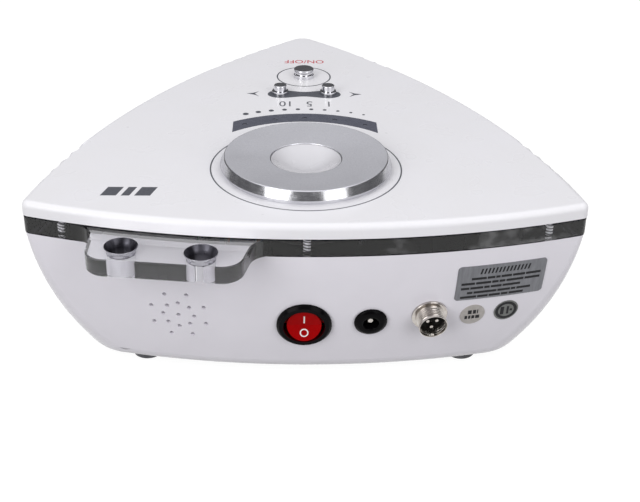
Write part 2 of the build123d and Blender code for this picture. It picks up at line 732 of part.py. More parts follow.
def dc_jack():
    """Glossy black power inlet with a domed flange."""
    flange = rod(JACK_FLANGE_R, SEAT, JACK_FLANGE_T)
    flange = fillet(flange.faces().sort_by(Axis.Z)[-1].edges(), JACK_FLANGE_T / 2)
    body = flange + rod(JACK_BODY_R, -JACK_BODY_DEPTH, SEAT)
    body -= rod(JACK_BORE_R, -JACK_BORE_DEPTH, JACK_FLANGE_T)
    body -= rod(JACK_PIN_R + SCREW_FIT, -JACK_BODY_DEPTH, 0)
    return wall_plane(JACK_AT) * body


def dc_jack_contacts():
    """Centre pin and two solder tabs."""
    place = wall_plane(JACK_AT)
    pin = rod(JACK_PIN_R, -JACK_BODY_DEPTH - TAB[2] / 2, -SEAT)
    tabs = [Pos(x, 0, -JACK_BODY_DEPTH - TAB[2]) * Box(*TAB, align=STAND) for x in (-TAB_X, TAB_X)]
    return [place * piece for piece in [pin] + tabs]


def dc_jack_nut():
    return wall_plane(JACK_AT) * hex_nut(JACK_NUT_AF, JACK_BODY_R)


def output_socket():
    """Chrome threaded barrel with its flange."""
    barrel = rod(OUT_FLANGE_R, SEAT, OUT_FLANGE_T) + rod(OUT_BARREL_R, -OUT_BACK, OUT_REACH)
    barrel -= rod(OUT_BORE_R, -OUT_BACK, OUT_REACH)
    return wall_plane(OUTPUT_AT) * barrel


def output_pin_places():
    return ring_points(OUT_PIN_CIRCLE, OUT_PINS, OUT_PIN_FIRST)


def output_insert():
    """Black disc in the barrel that holds the pins."""
    disc = rod(OUT_BORE_R - FIT, OUT_INSERT_FACE - OUT_INSERT_T, OUT_INSERT_FACE)
    for x, y in output_pin_places():
        disc -= rod(OUT_PIN_R + SCREW_FIT, -HOLE_REACH, HOLE_REACH, x, y)
    return wall_plane(OUTPUT_AT) * disc


def output_pins():
    low = OUT_INSERT_FACE - OUT_INSERT_T - OUT_PIN_TAIL
    high = OUT_INSERT_FACE + OUT_PIN_REACH
    return [wall_plane(OUTPUT_AT) * rod(OUT_PIN_R, low, high, x, y) for x, y in output_pin_places()]


def output_nut():
    return wall_plane(OUTPUT_AT) * hex_nut(OUT_NUT_AF, OUT_BARREL_R)


def stuck_on(place, face):
    """Thin sheet of a flat outline, bent onto the rear wall."""
    skin = tub(-LABEL_T, 0.0, BASE_R) - tub(0.0, 0.0, BASE_R)
    return skin & (wall_plane(place) * Pos(0, 0, -HOLE_REACH / 2) * extrude(face, HOLE_REACH))


def speaker_frame():
    """Pressed basket: flat rim, slanted wall and a back plate for the magnet."""
    front = -WALL - SPEAKER_SEAT
    back = front - SPEAKER_DEPTH
    inner = SPEAKER_R - SPEAKER_RIM_W
    frame = turned([
        (SPEAKER_R, front), (SPEAKER_R, front - SPEAKER_RIM_T), (inner, front - SPEAKER_RIM_T),
        (MAGNET_R, back), (CONE_T, back), (CONE_T, back + BASKET_T),
        (MAGNET_R - BASKET_T, back + BASKET_T),
        (inner - BASKET_T, front - SPEAKER_RIM_T), (inner - BASKET_T, front),
    ])
    return wall_plane(SPEAKER_AT) * frame


def speaker_cone():
    """Paper cone with its cap, held at the frame's rim."""
    front = -WALL - SPEAKER_SEAT
    rim = SPEAKER_R - SPEAKER_RIM_W - BASKET_T - FIT
    low = front - SPEAKER_DEPTH + CONE_LIFT
    cone = turned([
        (0, low), (MAGNET_R / 2, low), (rim, front - CONE_T * 2),
        (rim, front - CONE_T), (MAGNET_R / 2, low + CONE_T), (0, low + CONE_T * 3),
    ])
    return wall_plane(SPEAKER_AT) * cone


def speaker_magnet():
    back = -WALL - SPEAKER_SEAT - SPEAKER_DEPTH
    return wall_plane(SPEAKER_AT) * rod(MAGNET_R, back - MAGNET_T, back)


def foot(x, y):
    """Rubber foot with a well for its screw."""
    pad = rod(FOOT_R, 0, FOOT_DROP, x, y)
    pad = fillet(pad.faces().sort_by(Axis.Z)[0].edges(), FOOT_DROP / 4)
    pad -= rod(HEAD_R + FIT, 0, FOOT_HEAD_LIFT + HEAD_H, x, y)
    return pad - rod(SCREW_R + FIT, 0, FOOT_DROP, x, y)


def foot_screws():
    return [rod(HEAD_R, FOOT_HEAD_LIFT, FOOT_HEAD_LIFT + HEAD_H, x, y)
            + rod(SCREW_R, FOOT_HEAD_LIFT, FOOT_DROP + FOOT_BOSS_H, x, y)
            for x, y in FEET.values()]


def main_screw_places():
    return [(i * MAIN_SCREW_X, MAIN_BOARD_Y + j * MAIN_SCREW_Y) for i in (-1, 1) for j in (-1, 1)]


def main_board():
    board = block((*MAIN_BOARD, MAIN_BOARD_T), 0, MAIN_BOARD_Y, Z_MAIN - MAIN_BOARD_T)
    for x, y in main_screw_places():
        board -= rod(SMALL_SCREW_R + RUN, Z_FLOOR, Z_MAIN, x, y)
    return board


def main_board_screws():
    top = Z_MAIN + SMALL_HEAD_H
    return [rod(SMALL_HEAD_R, Z_MAIN, top, x, y) + rod(SMALL_SCREW_R, Z_FLOOR, Z_MAIN, x, y)
            for x, y in main_screw_places()]


def on_board(offset):
    """Place over the table of an offset from the main board's middle."""
    return (offset[0], MAIN_BOARD_Y + offset[1])


def transformer_core():
    """Ferrite core with two windows on either side of its middle leg."""
    x, y = on_board(CORE_AT)
    core = block(CORE, x, y, Z_MAIN)
    window_w = (CORE[0] - CORE_LEG - 2 * CORE_YOKE) / 2
    for side in (-1, 1):
        window = (window_w, CORE[1], CORE[2] - 2 * CORE_YOKE)
        core -= block(window, x + side * (CORE_LEG + window_w) / 2, y, Z_MAIN + CORE_YOKE)
    return core


def transformer_winding():
    """Coil round the core's middle leg."""
    x, y = on_board(CORE_AT)
    height = CORE[2] - 2 * CORE_YOKE - 2 * FIT
    width = CORE[0] - 2 * CORE_YOKE - 2 * FIT
    coil = block((width, WINDING_Y, height), x, y, Z_MAIN + CORE_YOKE + FIT)
    coil = fillet(coil.edges().filter_by(Axis.Z), (WINDING_Y - CORE[1]) / 4)
    return coil - block((CORE_LEG + 2 * FIT, CORE[1] + 2 * FIT, CORE[2]), x, y, Z_MAIN)


def heat_sink():
    """Aluminium plate with fins towards the nose."""
    x, y = on_board(SINK_AT)
    sink = block(SINK, x, y, Z_MAIN)
    step = (SINK[0] - FIN[0]) / (FINS - 1)
    for k in range(FINS):
        fin_x = x - (SINK[0] - FIN[0]) / 2 + k * step
        sink += block((*FIN, SINK[2]), fin_x, y + (SINK[1] + FIN[1]) / 2, Z_MAIN)
    return sink


def power_transistors():
    """Two flat packages against the heat sink, standing on their legs."""
    x, y = on_board(SINK_AT)
    front = y - (SINK[1] + TRANSISTOR[1]) / 2
    pieces = []
    for side in (-1, 1):
        centre = x + side * TRANSISTOR_X
        piece = block(TRANSISTOR, centre, front, Z_MAIN + TRANSISTOR_LIFT)
        for k in (-1, 0, 1):
            leg_x = centre + k * TRANSISTOR[0] / 4
            piece += block((LEG_W, LEG_W, TRANSISTOR_LIFT), leg_x, front, Z_MAIN)
        pieces.append(piece)
    return pieces


def capacitors():
    return [rod(CAPACITOR_R, Z_MAIN, Z_MAIN + CAPACITOR_H, *on_board(place)) for place in CAPACITORS]


def board_headers():
    """Plug headers: three at the board's rear edge and one on each board for the ribbon cable."""
    pieces = [block(HEADER, *on_board((x, HEADER_Y)), Z_MAIN) for x in HEADER_X.values()]
    socket = (RIBBON_W + 2, HEADER[1], SOCKET_H)
    pieces.append(block(socket, *on_board(RIBBON_AT), Z_MAIN))
    pieces.append(block(socket, *on_board(RIBBON_AT), Z_BOARD - BOARD_T - SOCKET_H))
    return pieces


def ribbon_cable():
    """Flat cable between the two boards."""
    low = Z_MAIN + SOCKET_H
    high = Z_BOARD - BOARD_T - SOCKET_H
    return block((RIBBON_W, RIBBON_T, high - low), *on_board(RIBBON_AT), low)


def turn_between(a, b, c):
    """Angle in radians that a route turns by at its middle point."""
    first = Vector(*b) - Vector(*a)
    second = Vector(*c) - Vector(*b)
    return math.radians(first.get_angle(second))


def lead(points):
    """Round lead through points, with arcs as large as its runs allow."""
    bends = []
    for a, b, c in zip(points, points[1:], points[2:]):
        run = min(math.dist(a, b), math.dist(b, c))
        bends.append(LEAD_ARC * run / math.tan(turn_between(a, b, c) / 2))
    route = FilletPolyline(*points, radius=bends)
    tube = sweep(Plane(origin=route @ 0, z_dir=route % 0) * Circle(LEAD_R), route)
    print("lead bends", [round(r, 1) for r in bends])
    print("lead volume over section times length",
          round(tube.volume / (math.pi * LEAD_R**2 * route.length), 4))
    return tube


def on_wall(place, x, y, depth):
    """Point behind the rear wall, in the wall's own directions."""
    point = wall_plane(place).from_local_coords(Vector(x, y, -depth))
    return (point.X, point.Y, point.Z)


def header_top(name):
    return (*on_board((HEADER_X[name], HEADER_Y)), Z_MAIN + HEADER[2])


def routed(start, place, name, depth):
    """Route from behind the wall, straight back and over, then down onto a header."""
    top = header_top(name)
    a = on_wall(place, *start, depth)
    b = on_wall(place, *start, depth + LEAD_STUB)
    d = (top[0], top[1], top[2] + LEAD_STUB)
    middle = ((b[0] + d[0]) / 2, (b[1] + d[1]) / 2 + LEAD_STUB / 4, max(b[2], d[2]) + LEAD_STUB / 2)
    return [a, b, middle, d, top]


def power_leads():
    """From the switch's top blade to the board, and from the inlet to the switch's low blade."""
    blade_end = HOUSING_DEPTH + BLADE[2]
    tab_end = JACK_BODY_DEPTH + TAB[2]
    board = lead(routed((0, BLADE_GAP), ROCKER_AT, "power", blade_end))
    link = lead([
        on_wall(JACK_AT, -TAB_X, 0, tab_end),
        on_wall(JACK_AT, -TAB_X, 0, blade_end + LEAD_STUB),
        on_wall(ROCKER_AT, 0, -BLADE_GAP, blade_end + LEAD_STUB),
        on_wall(ROCKER_AT, 0, -BLADE_GAP, blade_end),
    ])
    return [board, link]


def output_lead():
    x, y = output_pin_places()[0]
    depth = OUT_INSERT_T + OUT_PIN_TAIL - OUT_INSERT_FACE
    return lead(routed((x, y), OUTPUT_AT, "output", depth))


def speaker_lead():
    depth = WALL + SPEAKER_SEAT + SPEAKER_DEPTH + MAGNET_T
    return lead(routed((0, 0), SPEAKER_AT, "speaker", depth))


def pieces():
    """Every piece by its name."""
    label = RectangleRounded(LABEL_W, LABEL_H, LABEL_R)
    made = {
        "lower_shell": lower_shell(),
        "acrylic_plate": acrylic_plate(),
        "case_screws": case_screws(),
        "panel_tape": panel_tape(),
        "top_panel": top_panel(),
        "led_window": led_window(),
        "status_leds": status_leds(),
        "control_board": control_board(),
        "control_board_screws": control_board_screws(),
        "rest_ring": rest_ring(),
        "ring_dish": ring_dish(),
        "ring_screws": ring_screws(),
        "probe_cup_left": probe_cup(CUP_X[0], CUP_FRONT[0]),
        "probe_cup_right": probe_cup(CUP_X[1], CUP_FRONT[1]),
        "rocker_housing": rocker_housing(),
        "rocker": rocker(),
        "rocker_terminals": rocker_terminals(),
        "dc_jack": dc_jack(),
        "dc_jack_contacts": dc_jack_contacts(),
        "dc_jack_nut": dc_jack_nut(),
        "output_socket": output_socket(),
        "output_insert": output_insert(),
        "output_pins": output_pins(),
        "output_nut": output_nut(),
        "label_plate": stuck_on(LABEL_AT, label),
        "pale_sticker": stuck_on(PALE_STICKER_AT, Circle(STICKER_R)),
        "dark_sticker": stuck_on(DARK_STICKER_AT, Circle(STICKER_R)),
        "speaker_frame": speaker_frame(),
        "speaker_cone": speaker_cone(),
        "speaker_magnet": speaker_magnet(),
        "foot_screws": foot_screws(),
        "main_board": main_board(),
        "main_board_screws": main_board_screws(),
        "transformer_core": transformer_core(),
        "transformer_winding": transformer_winding(),
        "heat_sink": heat_sink(),
        "power_transistors": power_transistors(),
        "capacitors": capacitors(),
        "relay": block(RELAY, *on_board(RELAY_AT), Z_MAIN),
        "control_chip": block(CHIP, *on_board(CHIP_AT), Z_MAIN),
        "board_headers": board_headers(),
        "ribbon_cable": ribbon_cable(),
        "power_leads": power_leads(),
        "output_lead": output_lead(),
        "speaker_lead": speaker_lead(),
    }
    for name, place in FEET.items():
        made[name] = foot(*place)
    for button in (POWER, UP, DOWN):
        made[button[0] + "_collar"] = collar(button)
        made[button[0] + "_button"] = cap(button)
        made[button[0] + "_plunger"] = plunger(button)
        made[button[0] + "_switch"] = switch(button)
    return made


def main():
    made = pieces()
    front = made["acrylic_plate"].bounding_box().min.Y
    nose = made["top_panel"].bounding_box().max.Y
    middle = (front + nose) / 2
    print("middle of the depth", round(middle, 4), "front", round(front, 4), "nose", round(nose, 4))
    os.makedirs("parts", exist_ok=True)
    for name, shape in made.items():
        solids = shape if isinstance(shape, list) else [shape]
        moved = [Pos(0, -middle, 0) * solid for solid in solids]
        export_step(Compound(children=moved) if len(moved) > 1 else moved[0], f"parts/{name}.step")


main()
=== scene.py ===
import bpy
import bmesh
import math
import numpy as np
from mathutils import Matrix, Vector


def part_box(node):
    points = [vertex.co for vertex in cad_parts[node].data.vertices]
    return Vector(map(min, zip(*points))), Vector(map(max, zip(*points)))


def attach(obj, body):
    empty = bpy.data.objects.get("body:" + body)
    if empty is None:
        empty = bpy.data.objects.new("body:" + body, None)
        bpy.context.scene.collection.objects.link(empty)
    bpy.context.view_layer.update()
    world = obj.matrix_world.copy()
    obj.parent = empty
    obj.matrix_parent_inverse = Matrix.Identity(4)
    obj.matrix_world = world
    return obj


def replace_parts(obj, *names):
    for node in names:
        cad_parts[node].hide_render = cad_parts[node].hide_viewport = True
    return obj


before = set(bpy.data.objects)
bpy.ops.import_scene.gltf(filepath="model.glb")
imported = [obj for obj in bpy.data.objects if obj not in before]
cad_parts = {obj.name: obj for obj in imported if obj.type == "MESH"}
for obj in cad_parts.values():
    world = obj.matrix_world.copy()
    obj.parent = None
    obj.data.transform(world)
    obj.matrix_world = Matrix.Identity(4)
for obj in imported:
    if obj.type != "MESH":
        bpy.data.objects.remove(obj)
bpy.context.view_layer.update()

# Lower shell
# The triangular tub is glossy white moulded plastic in one piece. Its skin has the faint ripple
# of a moulding and a few soft rubs where it is handled. Lengths below are in millimetres.


def tint(red, green, blue):
    """Linear colour of an 8-bit display colour."""
    share = np.array([red, green, blue]) / 255.0
    curved = ((share + 0.055) / 1.055) ** 2.4
    return (*np.where(share <= 0.04045, share / 12.92, curved).tolist(), 1.0)


def finish(name, colour, roughness, metallic=0.0, **sockets):
    """Material with one Principled shader, its uniform values set on the shader's own sockets.

    Colours are 8-bit display colours here and wherever a pattern or a patch takes one.
    """
    material = bpy.data.materials.new(name)
    material.use_nodes = True
    shader = material.node_tree.nodes["Principled BSDF"]
    values = {"Base Color": tint(*colour), "Roughness": roughness, "Metallic": metallic}
    values.update({socket.replace("_", " "): value for socket, value in sockets.items()})
    for socket, value in values.items():
        shader.inputs[socket].default_value = value
    return material


def shader_of(material):
    """The material's Principled shader."""
    return material.node_tree.nodes["Principled BSDF"]


def grain(material, scale, stretch=(1, 1, 1), turn=(0, 0, 0), detail=2.0, kind="Noise"):
    """Noise, Voronoi or Wave pattern on the piece's own coordinates; scale is per metre."""
    tree = material.node_tree
    place = tree.nodes.new("ShaderNodeTexCoord")
    mapping = tree.nodes.new("ShaderNodeMapping")
    mapping.inputs["Scale"].default_value = stretch
    mapping.inputs["Rotation"].default_value = turn
    texture = tree.nodes.new("ShaderNodeTex" + kind)
    texture.inputs["Scale"].default_value = scale
    if "Detail" in texture.inputs:
        texture.inputs["Detail"].default_value = detail
    tree.links.new(place.outputs["Object"], mapping.inputs["Vector"])
    tree.links.new(mapping.outputs["Vector"], texture.inputs["Vector"])
    return texture.outputs[0]


def shades(material, source, dark, light, low=0.3, high=0.7):
    """Colour that the pattern moves from dark at low to light at high."""
    tree = material.node_tree
    ramp = tree.nodes.new("ShaderNodeValToRGB")
    for stop, place, colour in zip(ramp.color_ramp.elements, (low, high), (dark, light)):
        stop.position = place
        stop.color = tint(*colour)
    tree.links.new(source, ramp.inputs["Fac"])
    return ramp.outputs["Color"]


def tones(material, source, dark, light, low=0.3, high=0.7):
    """The pattern moves the base colour from dark at low to light at high."""
    colour = shades(material, source, dark, light, low, high)
    material.node_tree.links.new(colour, shader_of(material).inputs["Base Color"])


def patch(material, mask, colour):
    """Where the mask is 1 the base colour gives way to another one."""
    links = material.node_tree.links
    target = shader_of(material).inputs["Base Color"]
    mix = material.node_tree.nodes.new("ShaderNodeMix")
    mix.data_type = "RGBA"
    links.new(mask, mix.inputs[0])
    links.new(target.links[0].from_socket, mix.inputs[6])
    links.new(colour, mix.inputs[7])
    links.new(mix.outputs[2], target)


def node(material, kind, operation=None, **inputs):
    """Node of a kind, with an operation and the values of its numbered inputs."""
    made = material.node_tree.nodes.new(kind)
    if operation:
        made.operation = operation
    for number, value in inputs.items():
        made.inputs[int(number[1:])].default_value = value
    return made


def joined(material, operation, first, *others):
    """Masks or values taken together, one after another, by a Math node's operation."""
    for other in others:
        both = node(material, "ShaderNodeMath", operation)
        material.node_tree.links.new(first, both.inputs[0])
        material.node_tree.links.new(other, both.inputs[1])
        first = both.outputs[0]
    return first


def outside(material, mask):
    """1 where the mask is 0."""
    rest = node(material, "ShaderNodeMath", "SUBTRACT", _0=1.0)
    material.node_tree.links.new(mask, rest.inputs[1])
    return rest.outputs[0]


def beyond(material, axis, place, test="GREATER_THAN"):
    """1 where a point's X, Y or Z is greater, or less, than a place in millimetres."""
    point = node(material, "ShaderNodeTexCoord")
    parts = node(material, "ShaderNodeSeparateXYZ")
    tested = node(material, "ShaderNodeMath", test, _1=place / 1000)
    material.node_tree.links.new(point.outputs["Object"], parts.inputs[0])
    material.node_tree.links.new(parts.outputs[axis], tested.inputs[0])
    return tested.outputs[0]


def above(material, height):
    """1 where a point is higher than a height in millimetres."""
    return beyond(material, "Z", height)


def near_axis(material, origin, along, reach):
    """1 where a point is nearer than a reach to the line through an origin, in millimetres."""
    links = material.node_tree.links
    place = node(material, "ShaderNodeTexCoord")
    off = node(material, "ShaderNodeVectorMath", "SUBTRACT", _1=np.array(origin) / 1000)
    across = node(material, "ShaderNodeVectorMath", "CROSS_PRODUCT", _1=along)
    size = node(material, "ShaderNodeVectorMath", "LENGTH")
    inside = node(material, "ShaderNodeMath", "LESS_THAN", _1=reach / 1000)
    links.new(place.outputs["Object"], off.inputs[0])
    links.new(off.outputs[0], across.inputs[0])
    links.new(across.outputs[0], size.inputs[0])
    links.new(size.outputs["Value"], inside.inputs[0])
    return inside.outputs[0]


def spread(material, source, start, end, low, high):
    """A value's stretch from start to end, brought to low and high and kept between them."""
    mapped = node(material, "ShaderNodeMapRange", None, _1=start, _2=end, _3=low, _4=high)
    material.node_tree.links.new(source, mapped.inputs[0])
    return mapped.outputs[0]


def sheen_change(material, source, smooth, rough):
    """The pattern moves the roughness between two values."""
    sheen = spread(material, source, 0.3, 0.7, smooth, rough)
    material.node_tree.links.new(sheen, shader_of(material).inputs["Roughness"])


def relief(material, source, height):
    """The pattern raises the surface by a height in millimetres."""
    tree = material.node_tree
    bump = tree.nodes.new("ShaderNodeBump")
    bump.inputs["Distance"].default_value = height / 1000
    bump.inputs["Strength"].default_value = 1.0
    tree.links.new(source, bump.inputs["Height"])
    tree.links.new(bump.outputs["Normal"], shader_of(material).inputs["Normal"])


def dress(material, *nodes):
    """Gives CAD nodes their finish."""
    for name in nodes:
        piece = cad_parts[name]
        if not piece.material_slots:
            piece.data.materials.append(material)
        for place in piece.material_slots:
            place.material = material


def inside_rear(material, inset):
    """1 further inside the rear edge than an inset in millimetres."""
    return near_axis(material, ARC_MIDDLE, UPRIGHT, REAR_ARC - inset)


RIM_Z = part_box("lower_shell")[1].z * 1000
REAR_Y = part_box("top_panel")[0].y * 1000
REAR_ARC = 347.0                 # radius of the rear edge seen from above
ARC_MIDDLE = (0.0, REAR_Y + REAR_ARC, 0.0)
UPRIGHT = (0.0, 0.0, 1.0)
BEAD_SHADE = 0.02                      # dark adhesive on the rim's top face, painted shade seen through the plate
BEAD_SHADE_INSET = 2.4                 # the painted shade starts further in where the plate's tongue is
TONGUE_ROOT = (-57.7, REAR_Y, 0.0)
TONGUE_HALF = 26.0

moulded_white = finish("moulded_white", (233, 230, 238), 0.24, Coat_Weight=0.15, Coat_Roughness=0.1)
tones(moulded_white, grain(moulded_white, 70, detail=2), (232, 229, 237), (235, 232, 240))
sheen_change(moulded_white, grain(moulded_white, 90, detail=2), 0.24, 0.27)
relief(moulded_white, grain(moulded_white, 60, detail=1), 0.01)
# Painted shade: a dark bead of adhesive on the rim's top face darkens what shows through the clear plate
# above it.
bead_shade = shades(moulded_white, grain(moulded_white, 500), (66, 64, 72), (84, 82, 92))
past_tongue = outside(moulded_white, near_axis(moulded_white, TONGUE_ROOT, UPRIGHT, TONGUE_HALF))
bead_shade_mask = joined(moulded_white, "MAXIMUM", past_tongue, inside_rear(moulded_white, BEAD_SHADE_INSET))
bead_shade_mask = joined(moulded_white, "MULTIPLY", bead_shade_mask, above(moulded_white, RIM_Z - BEAD_SHADE))
patch(moulded_white, bead_shade_mask, bead_shade)
dress(moulded_white, "lower_shell")

# Feet and their screws
# Three short grey rubber pads carry the unit. Each is held by a steel pan-head screw in its well.
# The rubber is dull and slightly dusty.

foot_rubber = finish("foot_rubber", (88, 88, 92), 0.75)
tones(foot_rubber, grain(foot_rubber, 180, detail=5), (74, 74, 78), (104, 104, 108))
relief(foot_rubber, grain(foot_rubber, 1500), 0.06)
dress(foot_rubber, "foot_left", "foot_right", "foot_front")

turned_steel = finish("turned_steel", (176, 178, 182), 0.3, 1.0)
tones(turned_steel, grain(turned_steel, 900, (1, 1, 6)), (150, 152, 156), (196, 198, 202))
sheen_change(turned_steel, grain(turned_steel, 700), 0.22, 0.38)
dress(turned_steel, "foot_screws", "case_screws", "ring_screws", "main_board_screws",
      "control_board_screws")

# Rocker switch
# Round snap-in switch: a glossy black bezel and a red translucent rocker. A white bar and ring
# are printed on the rocker, the generic marks for on and off. Brass blades stand behind it.

LEAN = (0.3, 4.7, 8.6)           # inset of the wall: at the rim, with depth, with depth squared
WALL_H = RIM_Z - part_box("lower_shell")[0].z * 1000
INK_T = 0.035
SHARP = 35.0                     # edges that turn by more degrees than this stay crisp


def wall_radius(z):
    """Radius of the rear wall at a height over the table: it shrinks with the depth below the rim."""
    share = (RIM_Z - z) / WALL_H
    return REAR_ARC - (LEAN[0] + LEAN[1] * share + LEAN[2] * share**2)


def wall_lean(z):
    """Angle by which the rear wall leans inwards at a height."""
    return math.atan((LEAN[1] + 2 * LEAN[2] * (RIM_Z - z) / WALL_H) / WALL_H)


def leaning_wall(x, z, out=0.0):
    """Points on the rear wall, on a circle at each height.

    x is measured at the wall, z is the height over the table, out is the lift off the wall.
    """
    radius = wall_radius(z)
    turn = np.arcsin(x / radius)
    y = REAR_Y + REAR_ARC - (radius + out) * np.cos(turn)
    return np.stack(np.broadcast_arrays((radius + out) * np.sin(turn), y, z), -1)


def wall_axes(x, z):
    """Origin on the wall and its right, up and out directions there, one row each."""
    turn, lean = math.asin(x / wall_radius(z)), wall_lean(z)
    out = (math.sin(turn) * math.cos(lean), -math.cos(turn) * math.cos(lean), -math.sin(lean))
    right = (math.cos(turn), math.sin(turn), 0.0)
    return leaning_wall(x, z), np.array([right, np.cross(out, right), out])


def surface(name, grid, loop_rows=False, loop_columns=False, sharp=SHARP):
    """Mesh of a grid of points in millimetres: each cell is a face, rows or columns may close.

    Where the rows close and the columns don't, both ends get a cap. Equal points are merged.
    """
    grid = np.asarray(grid, float)
    index = np.arange(grid.shape[0] * grid.shape[1]).reshape(grid.shape[:2])
    if loop_rows:
        index = np.vstack([index, index[:1]])
    if loop_columns:
        index = np.hstack([index, index[:, :1]])
    corners = (index[:-1, :-1], index[1:, :-1], index[1:, 1:], index[:-1, 1:])
    faces = np.stack(corners, -1).reshape(-1, 4).tolist()
    if loop_rows and not loop_columns:
        faces += [index[:-1, 0].tolist(), index[:-1, -1].tolist()]
    mesh = bpy.data.meshes.new(name)
    mesh.from_pydata((grid.reshape(-1, 3) / 1000).tolist(), [], faces)
    return closed(mesh, sharp)


def closed(mesh, sharp=SHARP):
    """Merges equal points, turns the faces outwards and shades smooth up to an angle."""
    work = bmesh.new()
    work.from_mesh(mesh)
    bmesh.ops.remove_doubles(work, verts=work.verts, dist=1e-7)
    bmesh.ops.dissolve_degenerate(work, edges=work.edges, dist=1e-8)
    bmesh.ops.recalc_face_normals(work, faces=work.faces)
    work.to_mesh(mesh)
    work.free()
    mesh.shade_smooth()
    mesh.set_sharp_from_angle(angle=math.radians(sharp))
    return mesh


def fitted(mesh, material, body):
    """Object of a finished mesh that rides on a body."""
    mesh.materials.append(material)
    piece = bpy.data.objects.new(mesh.name, mesh)
    bpy.context.scene.collection.objects.link(piece)
    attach(piece, body)
    return piece


def film(one, two, skin):
    """Rows of a thin closed band of ink between two lines: skin(points, lift) lays them."""
    lift = np.full(len(one), INK_T)
    return np.stack([skin(one, 0 * lift), skin(one, lift), skin(two, lift), skin(two, 0 * lift)])


ROCKER_AT = (-0.8, 32.2)
PIVOT_DEPTH = 2.5
ROCK = math.radians(11.0)
ROCKER_R = 7.1
ROCKER_RISE = 2.6
WELL_R = 8.65
BAR_AT = 2.85
BAR = (0.55, 3.8)
RING_MARK_AT = -3.5
RING_MARK = (1.3, 1.8)


def rocker_face(points, lift):
    """Points (x, y) on the rocker's two facets, tilted about the pins as it rests."""
    x, y = points[:, 0], points[:, 1]
    height = ROCKER_RISE - (ROCKER_R - np.abs(y)) * math.tan(ROCK) + lift + PIVOT_DEPTH
    tilted = y * math.cos(ROCK) + height * math.sin(ROCK)
    out = -y * math.sin(ROCK) + height * math.cos(ROCK) - PIVOT_DEPTH
    origin, axes = wall_axes(*ROCKER_AT)
    return origin + np.stack([x, tilted, out], -1) @ axes


gloss_black = finish("gloss_black", (9, 8, 10), 0.2, Specular_IOR_Level=0.05)
tones(gloss_black, grain(gloss_black, 90, detail=4), (6, 5, 7), (12, 11, 13))
sheen_change(gloss_black, grain(gloss_black, 240), 0.12, 0.24)
# Painted red light: the black walls of the well round the rocker are tinted dark red, as if lit through the
# red rocker.
well_red_light = shades(gloss_black, grain(gloss_black, 300), (46, 4, 8), (70, 6, 12))
rocker_place, rocker_axes = wall_axes(*ROCKER_AT)
patch(gloss_black, near_axis(gloss_black, rocker_place, rocker_axes[2], WELL_R), well_red_light)
dress(gloss_black, "rocker_housing")

rocker_red = finish("rocker_red", (158, 5, 8), 0.3, Specular_IOR_Level=0.05,
                    Subsurface_Weight=0.15, Subsurface_Radius=(0.004, 0.0008, 0.0006))
tones(rocker_red, grain(rocker_red, 130, detail=3), (146, 2, 4), (166, 4, 7))
relief(rocker_red, grain(rocker_red, 600), 0.01)
dress(rocker_red, "rocker")

mark_white = finish("mark_white", (240, 240, 240), 0.45)
tones(mark_white, grain(mark_white, 1500), (228, 228, 228), (246, 246, 246))

half, rise = BAR[0] / 2, np.linspace(-BAR[1] / 2, BAR[1] / 2, 12) + BAR_AT
bar_left = np.stack([np.full_like(rise, -half), rise], -1)
bar_right = np.stack([np.full_like(rise, half), rise], -1)
bar_mesh = surface("rocker_bar_mark", film(bar_left, bar_right, rocker_face), loop_rows=True)
fitted(bar_mesh, mark_white, "rocker")

turn = np.linspace(0, 2 * math.pi, 48, endpoint=False)
circle = np.stack([np.cos(turn), np.sin(turn)], -1)
ring_rows = film(circle * RING_MARK[0] + (0, RING_MARK_AT), circle * RING_MARK[1] + (0, RING_MARK_AT),
                 rocker_face)
ring_mesh = surface("rocker_ring_mark", ring_rows, loop_rows=True, loop_columns=True)
fitted(ring_mesh, mark_white, "rocker")

blade_brass = finish("blade_brass", (206, 182, 120), 0.3, 1.0)
tones(blade_brass, grain(blade_brass, 500, (1, 5, 1)), (186, 160, 100), (218, 196, 138))
sheen_change(blade_brass, grain(blade_brass, 300), 0.22, 0.42)
dress(blade_brass, "rocker_terminals")

# Power inlet
# Small round inlet of glossy black plastic with a domed flange, clamped by a nickel nut. The
# dome is turned here as one smooth profile, with the plug's hole in its middle.

INLET_AT = (26.5, 33.4)
INLET_PROFILE = [(5.7, -13.0), (5.7, 0.05), (6.9, 0.05), (6.9, 1.1), (5.4, 2.1), (3.6, 2.2),
                 (3.15, 1.7), (3.15, -9.5), (1.07, -9.5), (1.07, -13.0)]
INLET_EASE = 0.5


def eased(corners, reach, steps=5):
    """Rounds the corners of a closed profile: at each a quadratic curve from reach before it."""
    corners = np.asarray(corners, float)
    reach = np.broadcast_to(np.asarray(reach, float), len(corners))[:, None]
    back, ahead = np.roll(corners, 1, 0) - corners, np.roll(corners, -1, 0) - corners
    back_len = np.linalg.norm(back, axis=1, keepdims=True)
    ahead_len = np.linalg.norm(ahead, axis=1, keepdims=True)
    start = corners + back / back_len * np.minimum(reach, back_len * 0.45)
    end = corners + ahead / ahead_len * np.minimum(reach, ahead_len * 0.45)
    s = np.linspace(0, 1, steps)[None, :, None]
    curve = (1 - s)**2 * start[:, None] + 2 * s * (1 - s) * corners[:, None] + s**2 * end[:, None]
    return curve.reshape(-1, 2)


def turned(profile, origin, axes=np.eye(3), steps=96):
    """Grid of a (radius, height) profile carried round an axis: x = r cos t, y = r sin t, z = h."""
    t = np.linspace(0, 2 * math.pi, steps, endpoint=False)
    radius, height = np.asarray(profile)[:, :1], np.asarray(profile)[:, 1:]
    points = np.stack(np.broadcast_arrays(radius * np.cos(t), radius * np.sin(t), height), -1)
    return origin + points @ axes


inlet_rows = turned(eased(INLET_PROFILE, INLET_EASE), *wall_axes(*INLET_AT))
inlet = fitted(surface("inlet_body", inlet_rows, True, True), gloss_black, "case")
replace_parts(inlet, "dc_jack")

